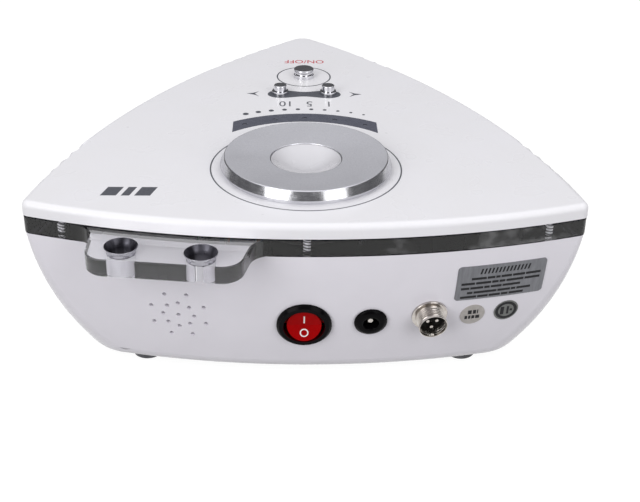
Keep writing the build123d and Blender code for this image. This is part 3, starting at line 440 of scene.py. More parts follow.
nut_nickel = finish("nut_nickel", (188, 186, 180), 0.25, 1.0)
tones(nut_nickel, grain(nut_nickel, 500), (170, 168, 162), (202, 200, 195))
sheen_change(nut_nickel, grain(nut_nickel, 300), 0.18, 0.34)
dress(nut_nickel, "dc_jack_nut", "output_nut")

# Output socket
# Threaded barrel of bright nickel with a thin flange, a black insert and bright pins. The
# thread is a wave cut into the barrel that climbs one pitch for each turn.

SOCKET_AT = (50.85, 35.1)
PITCH = 1.0
THREAD_DEEP = 0.7
THREAD = (1.5, 6.9)              # start and end of the thread in front of the wall
BARREL_R = 6.0
SOCKET_BACK = [(5.2, -9.0), (6.0, -9.0), (6.0, 0.05), (7.5, 0.05), (7.5, 0.9), (7.3, 1.1), (6.0, 1.2),
               (BARREL_R, 1.4)]
SOCKET_TIP = [(BARREL_R, 7.0), (5.98, 7.25), (5.9, 7.5), (5.62, 7.5), (5.52, 7.3), (5.5, 7.0),
              (5.45, 6.6), (5.2, 2.4)]
THREAD_ROWS = 84
KEY_RISE = 0.9                   # key in the bore, at its lowest point
KEY_HALF = 0.17                  # its half width in radians
KEY_ROWS = 2                     # the last rows of the tip carry it

heights = np.linspace(*THREAD, THREAD_ROWS)
thread_line = np.stack([np.full(THREAD_ROWS, BARREL_R), heights], -1)
barrel = np.concatenate([SOCKET_BACK, thread_line, SOCKET_TIP])
t = np.linspace(0, 2 * math.pi, 96, endpoint=False)
run_in = np.clip(np.minimum(barrel[:, 1] - THREAD[0], THREAD[1] - barrel[:, 1]) / (PITCH / 2), 0, 1)
run_in[:len(SOCKET_BACK)] = 0
run_in[-len(SOCKET_TIP):] = 0
wave = 0.5 - 0.5 * np.cos(2 * math.pi * (barrel[:, 1:] / PITCH) - t)
radius = barrel[:, :1] - THREAD_DEEP * run_in[:, None] * wave
radius[-KEY_ROWS:] -= KEY_RISE * np.exp(-((t - 1.5 * math.pi) / KEY_HALF) ** 2)
cut = np.stack(np.broadcast_arrays(radius * np.cos(t), radius * np.sin(t), barrel[:, 1:]), -1)
socket_origin, socket_axes = wall_axes(*SOCKET_AT)

bright_nickel = finish("bright_nickel", (190, 184, 178), 0.22, 1.0)
tones(bright_nickel, grain(bright_nickel, 350, detail=4), (174, 167, 161), (204, 199, 194))
sheen_change(bright_nickel, grain(bright_nickel, 500), 0.17, 0.28)
socket_mesh = surface("socket_barrel", socket_origin + cut @ socket_axes, True, True)
socket = fitted(socket_mesh, bright_nickel, "case")
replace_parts(socket, "output_socket")
dress(bright_nickel, "output_pins", "dc_jack_contacts")

insert_black = finish("insert_black", (14, 12, 12), 0.5, Specular_IOR_Level=0.15)
tones(insert_black, grain(insert_black, 400, detail=5), (11, 9, 9), (20, 18, 18))
relief(insert_black, grain(insert_black, 1200), 0.02)
dress(insert_black, "output_insert")

# Speaker behind the sound holes
# Pressed steel basket with a paper cone and a ferrite magnet. Only the dark cone can be
# guessed through the holes.

cone_paper = finish("cone_paper", (44, 42, 42), 0.9)
tones(cone_paper, grain(cone_paper, 700, detail=6), (32, 30, 30), (58, 56, 55))
relief(cone_paper, grain(cone_paper, 1800, detail=5), 0.05)
dress(cone_paper, "speaker_cone")

ferrite_grey = finish("ferrite_grey", (58, 58, 62), 0.6)
tones(ferrite_grey, grain(ferrite_grey, 900, kind="Voronoi"), (48, 48, 52), (70, 70, 74))
relief(ferrite_grey, grain(ferrite_grey, 1600), 0.03)
dress(ferrite_grey, "speaker_magnet", "transformer_core")

basket_steel = finish("basket_steel", (62, 63, 66), 0.45, 0.7)
tones(basket_steel, grain(basket_steel, 300, detail=4), (52, 53, 56), (76, 77, 80))
sheen_change(basket_steel, grain(basket_steel, 500), 0.35, 0.55)
dress(basket_steel, "speaker_frame")

# Label and two round stickers
# Printed films stuck to the rear wall, flat sheets that follow its curve. The label carries
# plain bars in rows, the pale sticker plain bars, and the dark one a ring and bars.

LABEL_AT = (79.8, 50.0)
LABEL_LIFT = 0.26
STICKER_AT = ((69.3, 32.9), (83.9, 33.0))
STICKER_RING = (3.5, 4.85)
HEADING = (-9.3, 11.3, 5.7, 2.7)  # left, right, middle height and height of the heading's bars
HEADING_BARS = 14
HEADING_BAR_W = 0.8
ITALIC = 0.7
BARS = (
    (2.2, ((-13.0, -6.6), (-6.2, -2.9), (-2.5, -0.6), (-0.2, 4.4), (4.8, 10.2), (10.6, 17.2))),
    (-0.2, ((-17.2, -11.4), (-11.0, -4.4), (-4.0, -1.2), (-0.8, 1.8), (2.2, 9.8), (10.2, 17.0))),
    (-2.6, ((-17.2, -13.6), (-13.2, -7.6), (-7.2, -4.8), (-4.4, 0.4), (0.8, 8.6))),
    (-5.0, ((-14.4, -12.0), (-11.6, -1.6), (-1.2, 4.4), (4.8, 6.8), (7.2, 13.4))),
    (-7.2, ((-17.2, -10.2), (-9.8, -5.2), (-4.8, 0.2), (0.6, 3.6), (4.0, 10.4))),
)
BAR_H = 1.2
PALE_BARS = ((1.4, 2.2, ((-2.1, -0.4), (0.1, 1.5), (1.9, 2.4))),
             (-1.45, 1.9, ((-3.3, -2.1), (-1.7, -0.7), (-0.3, 1.0), (1.4, 3.2))))
DARK_BARS = ((0.0, 4.4, ((-2.6, -1.0), (0.2, 1.2))), (0.0, 1.2, ((1.6, 2.7),)))


def wall_skin(place):
    """Function that lays flat points (x, y) on the wall's curve about a place, lifted off it."""
    origin_x, origin_z = place
    slope = math.cos(wall_lean(origin_z))
    turn = math.asin(origin_x / REAR_ARC)

    def lay(points, lift):
        x = REAR_ARC * np.sin(turn + points[:, 0] / REAR_ARC)
        return leaning_wall(x, origin_z + points[:, 1] * slope, LABEL_LIFT + lift)
    return lay


def bar(left, right, middle, high, skin, lean=0.0):
    """Closed band of a bar of ink about a middle height, its top shifted by a lean."""
    x = np.linspace(left, right, 6)
    low_line = np.stack([x - lean / 2, 0 * x + middle - high / 2], -1)
    high_line = np.stack([x + lean / 2, 0 * x + middle + high / 2], -1)
    return surface("bar", film(low_line, high_line, skin), loop_rows=True)


def bar_block(rows, skin):
    """Bars of several rows (middle height, height, runs)."""
    return [bar(left, right, middle, high, skin) for middle, high, runs in rows for left, right in runs]


def one_mesh(name, meshes):
    """Several meshes as one."""
    work = bmesh.new()
    for mesh in meshes:
        work.from_mesh(mesh)
        bpy.data.meshes.remove(mesh)
    whole = bpy.data.meshes.new(name)
    work.to_mesh(whole)
    work.free()
    whole.shade_smooth()
    whole.set_sharp_from_angle(angle=math.radians(SHARP))
    return whole


label_grey = finish("label_grey", (118, 119, 124), 0.42, 0.3)
tones(label_grey, grain(label_grey, 900, (1, 1, 0.06)), (110, 111, 116), (126, 127, 132))
sheen_change(label_grey, grain(label_grey, 400), 0.34, 0.5)
dress(label_grey, "label_plate")

paper_pale = finish("paper_pale", (180, 175, 171), 0.5)
tones(paper_pale, grain(paper_pale, 700, detail=5), (170, 165, 161), (188, 183, 180))
dress(paper_pale, "pale_sticker")

paper_dark = finish("paper_dark", (104, 106, 104), 0.45, 0.1)
tones(paper_dark, grain(paper_dark, 700, detail=5), (94, 96, 94), (114, 116, 114))
dress(paper_dark, "dark_sticker")

black_ink = finish("black_ink", (24, 24, 27), 0.5, Specular_IOR_Level=0.2)
tones(black_ink, grain(black_ink, 1800), (18, 18, 21), (32, 32, 35))

label_skin = wall_skin(LABEL_AT)
left, right, middle, high = HEADING
bars = bar_block([(middle_row, BAR_H, runs) for middle_row, runs in BARS], label_skin)
bars += [bar(x, x + HEADING_BAR_W, middle, high, label_skin, ITALIC)
         for x in np.linspace(left, right, HEADING_BARS)]
fitted(one_mesh("label_bars", bars), black_ink, "case")
fitted(one_mesh("pale_sticker_bars", bar_block(PALE_BARS, wall_skin(STICKER_AT[0]))), black_ink, "case")
dark_skin = wall_skin(STICKER_AT[1])
ring_band = surface("band", film(circle * STICKER_RING[0], circle * STICKER_RING[1], dark_skin), True, True)
fitted(one_mesh("dark_sticker_marks", [ring_band] + bar_block(DARK_BARS, dark_skin)), black_ink, "case")

# Main board
# Green glass-fibre board on four standoffs, with the coil, the heat sink, the transistors and
# the small parts of the high-frequency generator. It is hidden in the closed case.

board_green = finish("board_green", (22, 92, 56), 0.35, Coat_Weight=0.4, Coat_Roughness=0.15)
tones(board_green, grain(board_green, 260, kind="Voronoi"), (18, 80, 48), (44, 120, 74), 0.35, 0.4)
relief(board_green, grain(board_green, 260, kind="Voronoi"), 0.05)
dress(board_green, "main_board", "control_board")

winding_copper = finish("winding_copper", (184, 104, 58), 0.35, 0.9)
tones(winding_copper, grain(winding_copper, 420, turn=(0, math.pi / 2, 0), kind="Wave"),
      (150, 76, 40), (206, 128, 76))
relief(winding_copper, grain(winding_copper, 420, turn=(0, math.pi / 2, 0), kind="Wave"), 0.2)
dress(winding_copper, "transformer_winding")

fin_aluminium = finish("fin_aluminium", (180, 182, 186), 0.4, 1.0)
tones(fin_aluminium, grain(fin_aluminium, 600, (1, 1, 0.1)), (160, 162, 166),
      (198, 200, 204))
sheen_change(fin_aluminium, grain(fin_aluminium, 300), 0.3, 0.5)
dress(fin_aluminium, "heat_sink")

package_black = finish("package_black", (34, 34, 36), 0.55)
tones(package_black, grain(package_black, 800, detail=5), (28, 28, 30), (44, 44, 46))
relief(package_black, grain(package_black, 1500), 0.03)
dress(package_black, "power_transistors", "control_chip", "board_headers",
      "power_switch", "intensity_up_switch", "intensity_down_switch",
      "power_plunger", "intensity_up_plunger", "intensity_down_plunger")

sleeve_blue = finish("sleeve_blue", (38, 54, 110), 0.35)
tones(sleeve_blue, grain(sleeve_blue, 300, (1, 1, 0.2)), (32, 46, 96), (48, 66, 126))
sheen_change(sleeve_blue, grain(sleeve_blue, 200), 0.28, 0.45)
dress(sleeve_blue, "capacitors")

relay_blue = finish("relay_blue", (40, 96, 160), 0.4)
tones(relay_blue, grain(relay_blue, 250), (34, 86, 148), (48, 108, 174))
relief(relay_blue, grain(relay_blue, 1400), 0.02)
dress(relay_blue, "relay")

# Leads and ribbon
# Sleeved leads run from the sockets, the switch and the speaker to the board's headers, and a
# flat grey ribbon joins the two boards.

lead_sleeve = finish("lead_sleeve", (52, 52, 56), 0.5)
tones(lead_sleeve, grain(lead_sleeve, 500, detail=4), (44, 44, 48), (64, 64, 68))
relief(lead_sleeve, grain(lead_sleeve, 1200), 0.03)
dress(lead_sleeve, "power_leads", "output_lead", "speaker_lead")

ribbon_grey = finish("ribbon_grey", (150, 150, 152), 0.5)
tones(ribbon_grey, grain(ribbon_grey, 400, kind="Wave"), (126, 126, 128), (164, 164, 166))
relief(ribbon_grey, grain(ribbon_grey, 400, kind="Wave"), 0.2)
dress(ribbon_grey, "ribbon_cable")

# Clear plate
# Cut and polished acrylic with a tongue for the probe cups. Where the panel's tape and the
# shell's rim touch it, dark adhesive shows through as painted shade, so that its edge looks smoky.
# A whitish painted light lies on the rear edge and on the tongue.

PLATE_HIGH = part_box("acrylic_plate")[1].z * 1000
GLUE_SHADE_INSET = 0.4                 # the dark adhesive under the panel, painted shade for the plate's edge, starts this far inside the edge
SKIN = 0.06                      # a face's colour reaches this far below it
BORE_REACH = 5.5
SCREW_REACH = 1.65
SCREW_AT = ((-98.1, 24.0), (0.0, 8.6), (98.1, 24.0))  # from the middle of the rear edge
DRILL_PITCH = 1.3195             # spiral marks of the drill in the screw holes
DRILL_TILT = math.radians(80.0)
EDGE_SKIN = 0.5                  # the polished rear edge, as deep as its painted light reaches
EDGE_LIGHT = (0.56, 0.76, 0.0, 0.24)  # the pattern's stretch, and the painted light at its two ends
EDGE_LIGHT_DRIFT = 0.95                # more painted light towards the right end, for each metre
FRONT_LIGHT = 0.05                # painted light on the tongue's front face
TONGUE_LIGHT = 0.25               # painted light on its top face, for light that passes through the plate
TONGUE_START = 2.6               # from here outwards, measured from the rear edge


def middle_of(name):
    """Middle of a CAD node seen from above, in millimetres."""
    low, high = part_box(name)
    return (low.x + high.x) * 500, (low.y + high.y) * 500


def drifting(material, source, share):
    """The pattern with a share of the place from left to right, in metres, added to it."""
    point = node(material, "ShaderNodeTexCoord")
    parts = node(material, "ShaderNodeSeparateXYZ")
    added = node(material, "ShaderNodeMath", "MULTIPLY_ADD", _1=share)
    material.node_tree.links.new(point.outputs["Object"], parts.inputs[0])
    material.node_tree.links.new(parts.outputs["X"], added.inputs[0])
    material.node_tree.links.new(source, added.inputs[2])
    return added.outputs[0]


def share_of(material, mask, share):
    """The mask weakened to a share."""
    weak = node(material, "ShaderNodeMath", "MULTIPLY", _1=share)
    material.node_tree.links.new(mask, weak.inputs[0])
    return weak.outputs[0]


clear_acrylic = finish("clear_acrylic", (250, 249, 253), 0.02, IOR=1.49, Transmission_Weight=1.0)
tones(clear_acrylic, grain(clear_acrylic, 30), (249, 248, 252), (251, 251, 254))
relief(clear_acrylic, grain(clear_acrylic, 140, (1, 1, 0.1)), 0.02)

top_skin = above(clear_acrylic, PLATE_HIGH - SKIN)
# Painted shade: dark adhesive on the plate's top face under the panel darkens its edge, and its streaks are
# painted reflections.
glue_shade_mask = joined(clear_acrylic, "MULTIPLY", top_skin, inside_rear(clear_acrylic, GLUE_SHADE_INSET))
glue_reflection_streaks = grain(clear_acrylic, 70, (1, 0.04, 1), detail=3)
patch(clear_acrylic, glue_shade_mask, shades(clear_acrylic, glue_reflection_streaks, (56, 53, 62), (98, 95, 106)))

bored = joined(clear_acrylic, "MAXIMUM", *[
    near_axis(clear_acrylic, (*middle_of(cup), 0.0), UPRIGHT, BORE_REACH)
    for cup in ("probe_cup_left", "probe_cup_right")])
frost = grain(clear_acrylic, 300, (1, 1, 0.2))
patch(clear_acrylic, bored, shades(clear_acrylic, frost, (204, 202, 209), (226, 224, 231)))

drilled = joined(clear_acrylic, "MAXIMUM", *[
    near_axis(clear_acrylic, (x, y + REAR_Y, 0.0), UPRIGHT, SCREW_REACH) for x, y in SCREW_AT])
spiral = grain(clear_acrylic, 100 * math.pi / DRILL_PITCH, turn=(0.0, DRILL_TILT, 0.0), kind="Wave")
patch(clear_acrylic, drilled, shades(clear_acrylic, spiral, (96, 94, 104), (250, 250, 252)))

# Painted light: a whitish haze on the rear edge, brighter towards the right, and on the tongue's faces
# stands in for reflections and for light passing through the clear plate.
light_streaks = grain(clear_acrylic, 60, (1, 0.04, 1), detail=6)
edge_light = spread(clear_acrylic, drifting(clear_acrylic, light_streaks, EDGE_LIGHT_DRIFT), *EDGE_LIGHT)
off_root = outside(clear_acrylic, inside_rear(clear_acrylic, -TONGUE_START))
tongue_top_light = share_of(clear_acrylic, joined(clear_acrylic, "MULTIPLY", top_skin, off_root), TONGUE_LIGHT)
on_tongue = beyond(clear_acrylic, "Y", REAR_Y - EDGE_SKIN, "LESS_THAN")
painted_light = joined(clear_acrylic, "MAXIMUM", edge_light, tongue_top_light, share_of(clear_acrylic, on_tongue, FRONT_LIGHT))
rear_skin = outside(clear_acrylic, inside_rear(clear_acrylic, EDGE_SKIN))
painted_light = joined(clear_acrylic, "MULTIPLY", painted_light, rear_skin)
see_through = outside(clear_acrylic, joined(clear_acrylic, "MAXIMUM", glue_shade_mask, bored, drilled, painted_light))
clear_acrylic.node_tree.links.new(see_through, shader_of(clear_acrylic).inputs["Transmission Weight"])
dress(clear_acrylic, "acrylic_plate")

# Probe cups
# Two chrome cups turned from bar, with a flared mouth and a spigot in the plate. They take the
# tips of the hand probes.

SPIGOT_R = 5.15
CUP_PROFILE = [(4.9, -7.0), (SPIGOT_R, -7.0), (SPIGOT_R, -0.1), (5.4, 0.0), (5.75, 0.02), (5.75, 0.9),
               (5.9, 1.5), (6.45, 2.4), (6.55, 2.9), (6.45, 3.0), (6.3, 2.9), (5.7, 1.6), (5.3, 0.8),
               (4.95, -0.2), (4.9, -0.8)]
CUP_EASE = 0.2
FOOT_SHADOW = 0.3                  # height of the painted shadow where a cup meets the plate
SPIGOT_TOP = -0.1                # the spigot's paler finish ends here
SLIT_HALF = 1.5                  # the strip of the right spigot that shows in the plate's front face, painted darker to tone down its reflection
INWARD = -0.5                    # faces that look at the axis more than this belong to the bore

cup_chrome = finish("cup_chrome", (158, 157, 164), 0.14, 1.0)
tones(cup_chrome, grain(cup_chrome, 200, detail=4), (148, 147, 154), (168, 167, 174))
sheen_change(cup_chrome, grain(cup_chrome, 450, detail=5), 0.1, 0.18)
# Painted shadow: the chrome darkens in a thin band where each cup stands on the plate.
foot_shadow_mask = outside(cup_chrome, above(cup_chrome, PLATE_HIGH + FOOT_SHADOW))
foot_shadow = shades(cup_chrome, grain(cup_chrome, 500), (60, 59, 66), (90, 89, 96))
patch(cup_chrome, foot_shadow_mask, foot_shadow)
satin = grain(cup_chrome, 400)
in_plate = beyond(cup_chrome, "Z", PLATE_HIGH + SPIGOT_TOP, "LESS_THAN")
patch(cup_chrome, in_plate, shades(cup_chrome, satin, (214, 213, 219), (228, 227, 232)))
right_x, right_y = middle_of("probe_cup_right")
# Painted shade: the spigot is darker where it shows through the plate's front face, to tone down its bright
# reflection.
slit_shade_mask = near_axis(cup_chrome, (right_x, right_y - SPIGOT_R, 0.0), UPRIGHT, SLIT_HALF)
patch(cup_chrome, joined(cup_chrome, "MULTIPLY", in_plate, slit_shade_mask),
      shades(cup_chrome, satin, (178, 177, 183), (188, 187, 193)))

# Painted shade inside the cups: the faces that look at the axis are dark, and their upright streaks are
# painted highlights.
bore_shade = finish("bore_shade", (60, 59, 66), 0.3, 0.5, Specular_IOR_Level=0.3)
tones(bore_shade, grain(bore_shade, 260, (1, 1, 0.05)), (44, 43, 50), (92, 91, 100), 0.4, 0.62)
sheen_change(bore_shade, grain(bore_shade, 300), 0.24, 0.36)


def part_of(mesh, inside, material):
    """Gives the faces of a mesh for which a test of centre and normal holds a second material."""
    mesh.materials.append(material)
    centre, normal = np.zeros(len(mesh.polygons) * 3), np.zeros(len(mesh.polygons) * 3)
    mesh.polygons.foreach_get("center", centre)
    mesh.polygons.foreach_get("normal", normal)
    chosen = inside(centre.reshape(-1, 3) * 1000, normal.reshape(-1, 3))
    mesh.polygons.foreach_set("material_index", chosen.astype(np.int32))


def faces_inward(origin):
    """Test for part_of: true for the faces that look at the upright axis through an origin."""
    return lambda centre, normal: ((centre - origin)[:, :2] * normal[:, :2]).sum(1) < INWARD


for side in ("left", "right"):
    origin = (*middle_of("probe_cup_" + side), PLATE_HIGH)
    cup_mesh = surface("cup_" + side, turned(eased(CUP_PROFILE, CUP_EASE), origin), True, True)
    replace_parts(fitted(cup_mesh, cup_chrome, "case"), "probe_cup_" + side)
    part_of(cup_mesh, faces_inward(origin), bore_shade)

# Bonding tape
# Dark double-sided sheet between the plate and the panel. It shows as a thin dark line under
# the panel's edge.

tape_dark = finish("tape_dark", (58, 58, 64), 0.6)
tones(tape_dark, grain(tape_dark, 300, detail=4), (48, 48, 54), (70, 70, 76))
dress(tape_dark, "panel_tape")

# Top panel and its print
# Glossy white cover plate with a rounded edge. Its marks are screen-printed: circles, a dark
# two-lobed field, swallow-tail marks, ten dots, plain numbers and bars, and the switch's words.

PANEL_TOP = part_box("top_panel")[1].z * 1000
RING_X, RING_Y = middle_of("rest_ring")
POWER_X, POWER_Y = middle_of("power_button")
KEY_X, KEY_Y = middle_of("intensity_down_button")
RING_CIRCLE = (40.25, 40.85)
POWER_CIRCLE = (12.95, 13.6)
FIELD_REACH = 6.2                # a lobe's end past its button
FIELD_LOBE = 5.0
FIELD_WAIST = 3.0
FIELD_SHIFT = -1.1               # the field's middle from the buttons
SWALLOW_TOP = ((28.0, -0.6), (24.6, 0.25), (22.1, 2.1))
SWALLOW_MIDDLE = ((28.0, -0.6), (24.0, -0.75), (22.2, 1.9))
SWALLOW_HOLLOW = ((28.0, -0.6), (24.0, -0.75), (22.0, -3.9))
SWALLOW_BASE = ((28.0, -0.6), (24.4, -2.0), (21.9, -4.1))
DOT_CIRCLE = 64.2
DOT_STEP = 5.65
DOT_SIZES = (2.8, 1.3)
DOTS = 10
WORD_BOX = (0.4, 181.6, 20.2, 4.6)  # middle, from the rear edge, and size of the words
NUMBER_BOX = (0.0, 124.0, 24.0, 6.2)
SLANT = 2.4
CORNER_BARS = ((-83.6, -77.2), (-75.2, -71.8), (-69.8, -63.4))
CORNER_BAR_Y = (25.4, 33.2)      # from the middle of the rear edge


def panel_skin(points, lift):
    """Flat points laid on the panel's top face."""
    return np.stack([points[:, 0], points[:, 1], PANEL_TOP + lift], -1)


def printed(name, one, two, loop=False):
    """Film of grey ink on the panel between two lines."""
    fitted(surface(name, film(one, two, panel_skin), True, loop), grey_ink, "case")


panel_white = finish("panel_white", (239, 238, 243), 0.26, Specular_IOR_Level=0.35)
tones(panel_white, grain(panel_white, 45, detail=2), (239, 238, 242), (240, 239, 244))
sheen_change(panel_white, grain(panel_white, 60, detail=2), 0.27, 0.29)
relief(panel_white, grain(panel_white, 30, detail=1), 0.004)
dress(panel_white, "top_panel")

grey_ink = finish("grey_ink", (82, 84, 92), 0.4)
tones(grey_ink, grain(grey_ink, 1200), (76, 78, 86), (90, 92, 100))
red_ink = finish("red_ink", (196, 46, 58), 0.4)
tones(red_ink, grain(red_ink, 1200), (186, 38, 50), (206, 58, 70))

turn = np.linspace(0, 2 * math.pi, 144, endpoint=False)
wide_circle = np.stack([np.cos(turn), np.sin(turn)], -1)
ring_middle, power_middle = np.array([RING_X, RING_Y]), np.array([POWER_X, POWER_Y])
printed("ring_circle", *[wide_circle * radius + ring_middle for radius in RING_CIRCLE], True)
printed("power_circle", *[wide_circle * radius + power_middle for radius in POWER_CIRCLE], True)

x = np.linspace(-1, 1, 81) * (KEY_X + FIELD_REACH)
blend = np.clip(np.abs(x) / KEY_X, 0, 1)
waist = FIELD_WAIST + (FIELD_LOBE - FIELD_WAIST) * (3 * blend**2 - 2 * blend**3)
past = np.clip((np.abs(x) - KEY_X) / FIELD_REACH, 0, 1)
half = waist * np.sqrt(1 - past**2)
field_y = KEY_Y + FIELD_SHIFT
printed("key_field", np.stack([x, field_y - half], -1), np.stack([x, field_y + half], -1))

for side, name in ((-1, "swallow_left"), (1, "swallow_right")):
    lines = [np.array(line) * (side, 1) + (0, KEY_Y)
             for line in (SWALLOW_TOP, SWALLOW_MIDDLE, SWALLOW_HOLLOW, SWALLOW_BASE)]
    blades = [surface("blade", film(one, two, panel_skin), loop_rows=True)
              for one, two in (lines[:2], lines[2:])]
    fitted(one_mesh(name, blades), grey_ink, "case")

share = np.arange(DOTS) / (DOTS - 1)
angles = np.radians((share - 0.5) * DOT_STEP * (DOTS - 1))
sizes = DOT_SIZES[0] + (DOT_SIZES[1] - DOT_SIZES[0]) * share
small_turn = np.linspace(0, math.pi, 13)
dots = []
for angle, size in zip(angles, sizes):
    middle = ring_middle + DOT_CIRCLE * np.array([math.sin(angle), math.cos(angle)])
    lower = middle + size / 2 * np.stack([np.cos(small_turn), -np.sin(small_turn)], -1)
    upper = middle + size / 2 * np.stack([np.cos(small_turn), np.sin(small_turn)], -1)
    dots.append(surface("dot", film(lower, upper, panel_skin), loop_rows=True))
fitted(one_mesh("scale_dots", dots), grey_ink, "case")

mark_y = np.array(CORNER_BAR_Y) + REAR_Y
slant = np.array([0.0, SLANT])
bars = [surface("bar", film(np.stack([left + slant, mark_y], -1), np.stack([right + slant, mark_y], -1),
                            panel_skin), loop_rows=True) for left, right in CORNER_BARS]
fitted(one_mesh("corner_bars", bars), grey_ink, "case")


def lettering(name, words, box, ink):
    """Raised film of generic letters in a box (x, y, width, height), read from the nose side."""
    curve = bpy.data.curves.new(name, "FONT")
    curve.body = words
    curve.extrude = 0.1          # any depth does: the film's own thickness replaces it below
    source = bpy.data.objects.new(name + "_curve", curve)
    bpy.context.scene.collection.objects.link(source)
    bpy.context.view_layer.update()
    mesh = bpy.data.meshes.new_from_object(source)
    bpy.data.objects.remove(source)
    mesh.name = name
    points = np.zeros(len(mesh.vertices) * 3)
    mesh.vertices.foreach_get("co", points)
    points = points.reshape(-1, 3)
    low, high = points.min(0), points.max(0)
    share = (points - low) / (high - low) - (0.5, 0.5, 0.0)
    middle = (box[0], box[1] + REAR_Y, PANEL_TOP)
    points = middle + share * (-box[2], -box[3], INK_T)
    mesh.vertices.foreach_set("co", (points / 1000).ravel())
    mesh.materials.clear()
    return fitted(closed(mesh), ink, "case")


lettering("switch_words", "ON/OFF", WORD_BOX, red_ink)
lettering("scale_numbers", "1   5   10", NUMBER_BOX, grey_ink)

# Display window
# Smoked film let into the panel, with five lamp lenses under it. Each lens is a low dark dome
# that catches a small glint.

LENS_CIRCLE = 53.6
LENS_ANGLES = (-31.0, -15.0, 0.0, 15.0, 31.0)
LENS_R = 1.15
LENS_RISE = 0.22

window_smoke = finish("window_smoke", (90, 92, 105), 0.22, Coat_Weight=0.3, Coat_Roughness=0.05)
tones(window_smoke, grain(window_smoke, 160, detail=3), (87, 89, 102), (93, 95, 108))
sheen_change(window_smoke, grain(window_smoke, 320), 0.24, 0.3)
dress(window_smoke, "led_window")

lens_dark = finish("lens_dark", (60, 62, 76), 0.12, Coat_Weight=0.3, Coat_Roughness=0.03)
tones(lens_dark, grain(lens_dark, 900), (54, 55, 68), (64, 66, 80))
lamp_lens = finish("lamp_lens", (150, 154, 176), 0.3, Transmission_Weight=0.4)
tones(lamp_lens, grain(lamp_lens, 700), (138, 142, 164), (162, 166, 188))
dress(lamp_lens, "status_leds")

dome = np.linspace(0, 1, 7)[:, None]
lens_profile = np.hstack([LENS_R * np.sin(dome * math.pi / 2), LENS_RISE * np.cos(dome * math.pi / 2)])
lens_profile = np.vstack([lens_profile, [(0.0, 0.0)]])
lenses = []
for angle in np.radians(LENS_ANGLES):
    origin = (RING_X + LENS_CIRCLE * math.sin(angle), RING_Y + LENS_CIRCLE * math.cos(angle), PANEL_TOP)
    lenses.append(surface("lens", turned(lens_profile, origin, steps=24), loop_columns=True))
fitted(one_mesh("lamp_domes", lenses), lens_dark, "case")

# Rest ring
# Turned aluminium ring: a blasted satin top that falls towards the bore, and a polished flank
# with a fine bright edge. It is screwed down from below.

RING_PROFILE = [(15.2, 0.0), (35.4, 0.0), (35.4, 1.5), (36.55, 1.95), (34.95, 5.55), (34.65, 5.9),
                (15.2, 4.35), (15.02, 4.2)]
RING_EASE = 0.15
RING_SHARP = 6.0
SATIN_R = (15.6, 34.55)          # the satin top lies between these two radii
SATIN_LOW = 4.2

satin_aluminium = finish("satin_aluminium", (207, 207, 212), 0.55, 0.85)
tones(satin_aluminium, grain(satin_aluminium, 1700, detail=4), (199, 199, 204),
      (215, 215, 219), 0.25, 0.75)
sheen_change(satin_aluminium, grain(satin_aluminium, 60, detail=3), 0.5, 0.6)
relief(satin_aluminium, grain(satin_aluminium, 2400, detail=3), 0.03)
polished_flank = finish("polished_flank", (222, 222, 226), 0.2, 1.0)
tones(polished_flank, grain(polished_flank, 240, (1, 1, 8)), (212, 212, 217),
      (230, 230, 233))
sheen_change(polished_flank, grain(polished_flank, 300), 0.16, 0.24)

ring_grid = turned(eased(RING_PROFILE, RING_EASE, 3), (RING_X, RING_Y, PANEL_TOP), steps=192)
ring_mesh = surface("aluminium_ring", ring_grid, True, True, RING_SHARP)
ring = fitted(ring_mesh, polished_flank, "case")


def on_top(centre, normal):
    """True between the two edges of the ring's top face."""
    place = centre - (RING_X, RING_Y, PANEL_TOP)
    reach = np.hypot(place[:, 0], place[:, 1])
    return (place[:, 2] > SATIN_LOW) & (reach > SATIN_R[0]) & (reach < SATIN_R[1])


part_of(ring_mesh, on_top, satin_aluminium)
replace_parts(ring, "rest_ring")

# Dish
# White glossy cup in the ring's bore, with a thin rounded lip and a shallow round hollow for
# the head of a probe.

DISH_R = 14.95
DISH_HIGH = 4.1
DISH_LIP = 0.8
LIP_BEVEL = (0.15, 0.3)          # its inner edge, across and down
LIP_EASE = (0.0, 0.3, 0.2, 0.0)
DISH_DEEP = 6.0                  # depth of the hollow, which starts a little below the lip
DISH_START = 0.15
DISH_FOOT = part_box("ring_dish")[0].z * 1000 - PANEL_TOP

share = np.linspace(1, 0, 20)[:, None]
mouth = DISH_R - DISH_LIP
bowl = np.hstack([mouth * share, DISH_HIGH - DISH_START - DISH_DEEP * (1 - share**2)])
lip = eased([(DISH_R, DISH_FOOT), (DISH_R, DISH_HIGH), (mouth + LIP_BEVEL[0], DISH_HIGH),
             (mouth, DISH_HIGH - LIP_BEVEL[1])], LIP_EASE)
dish_profile = np.vstack([[(0.0, DISH_FOOT)], lip, bowl])
dish_mesh = surface("dish_cup", turned(dish_profile, (RING_X, RING_Y, PANEL_TOP)), loop_columns=True)
dish_white = finish("dish_white", (208, 207, 212), 0.25, Coat_Weight=0.2, Coat_Roughness=0.1)
tones(dish_white, grain(dish_white, 40), (205, 204, 209), (212, 211, 216))
sheen_change(dish_white, grain(dish_white, 120), 0.2, 0.3)
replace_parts(fitted(dish_mesh, dish_white, "case"), "ring_dish")

# Push buttons
# Chrome caps, turned with a fine step and a slightly hollow top, in chrome collars. Each cap
# rides on its own key and springs back.

polished_chrome = finish("polished_chrome", (222, 222, 226), 0.1, 1.0)
tones(polished_chrome, grain(polished_chrome, 200, detail=4), (214, 214, 218),
      (232, 232, 235))
sheen_change(polished_chrome, grain(polished_chrome, 450, detail=5), 0.06, 0.13)
for key in ("power", "intensity_up", "intensity_down"):
    dress(polished_chrome, key + "_button", key + "_collar")

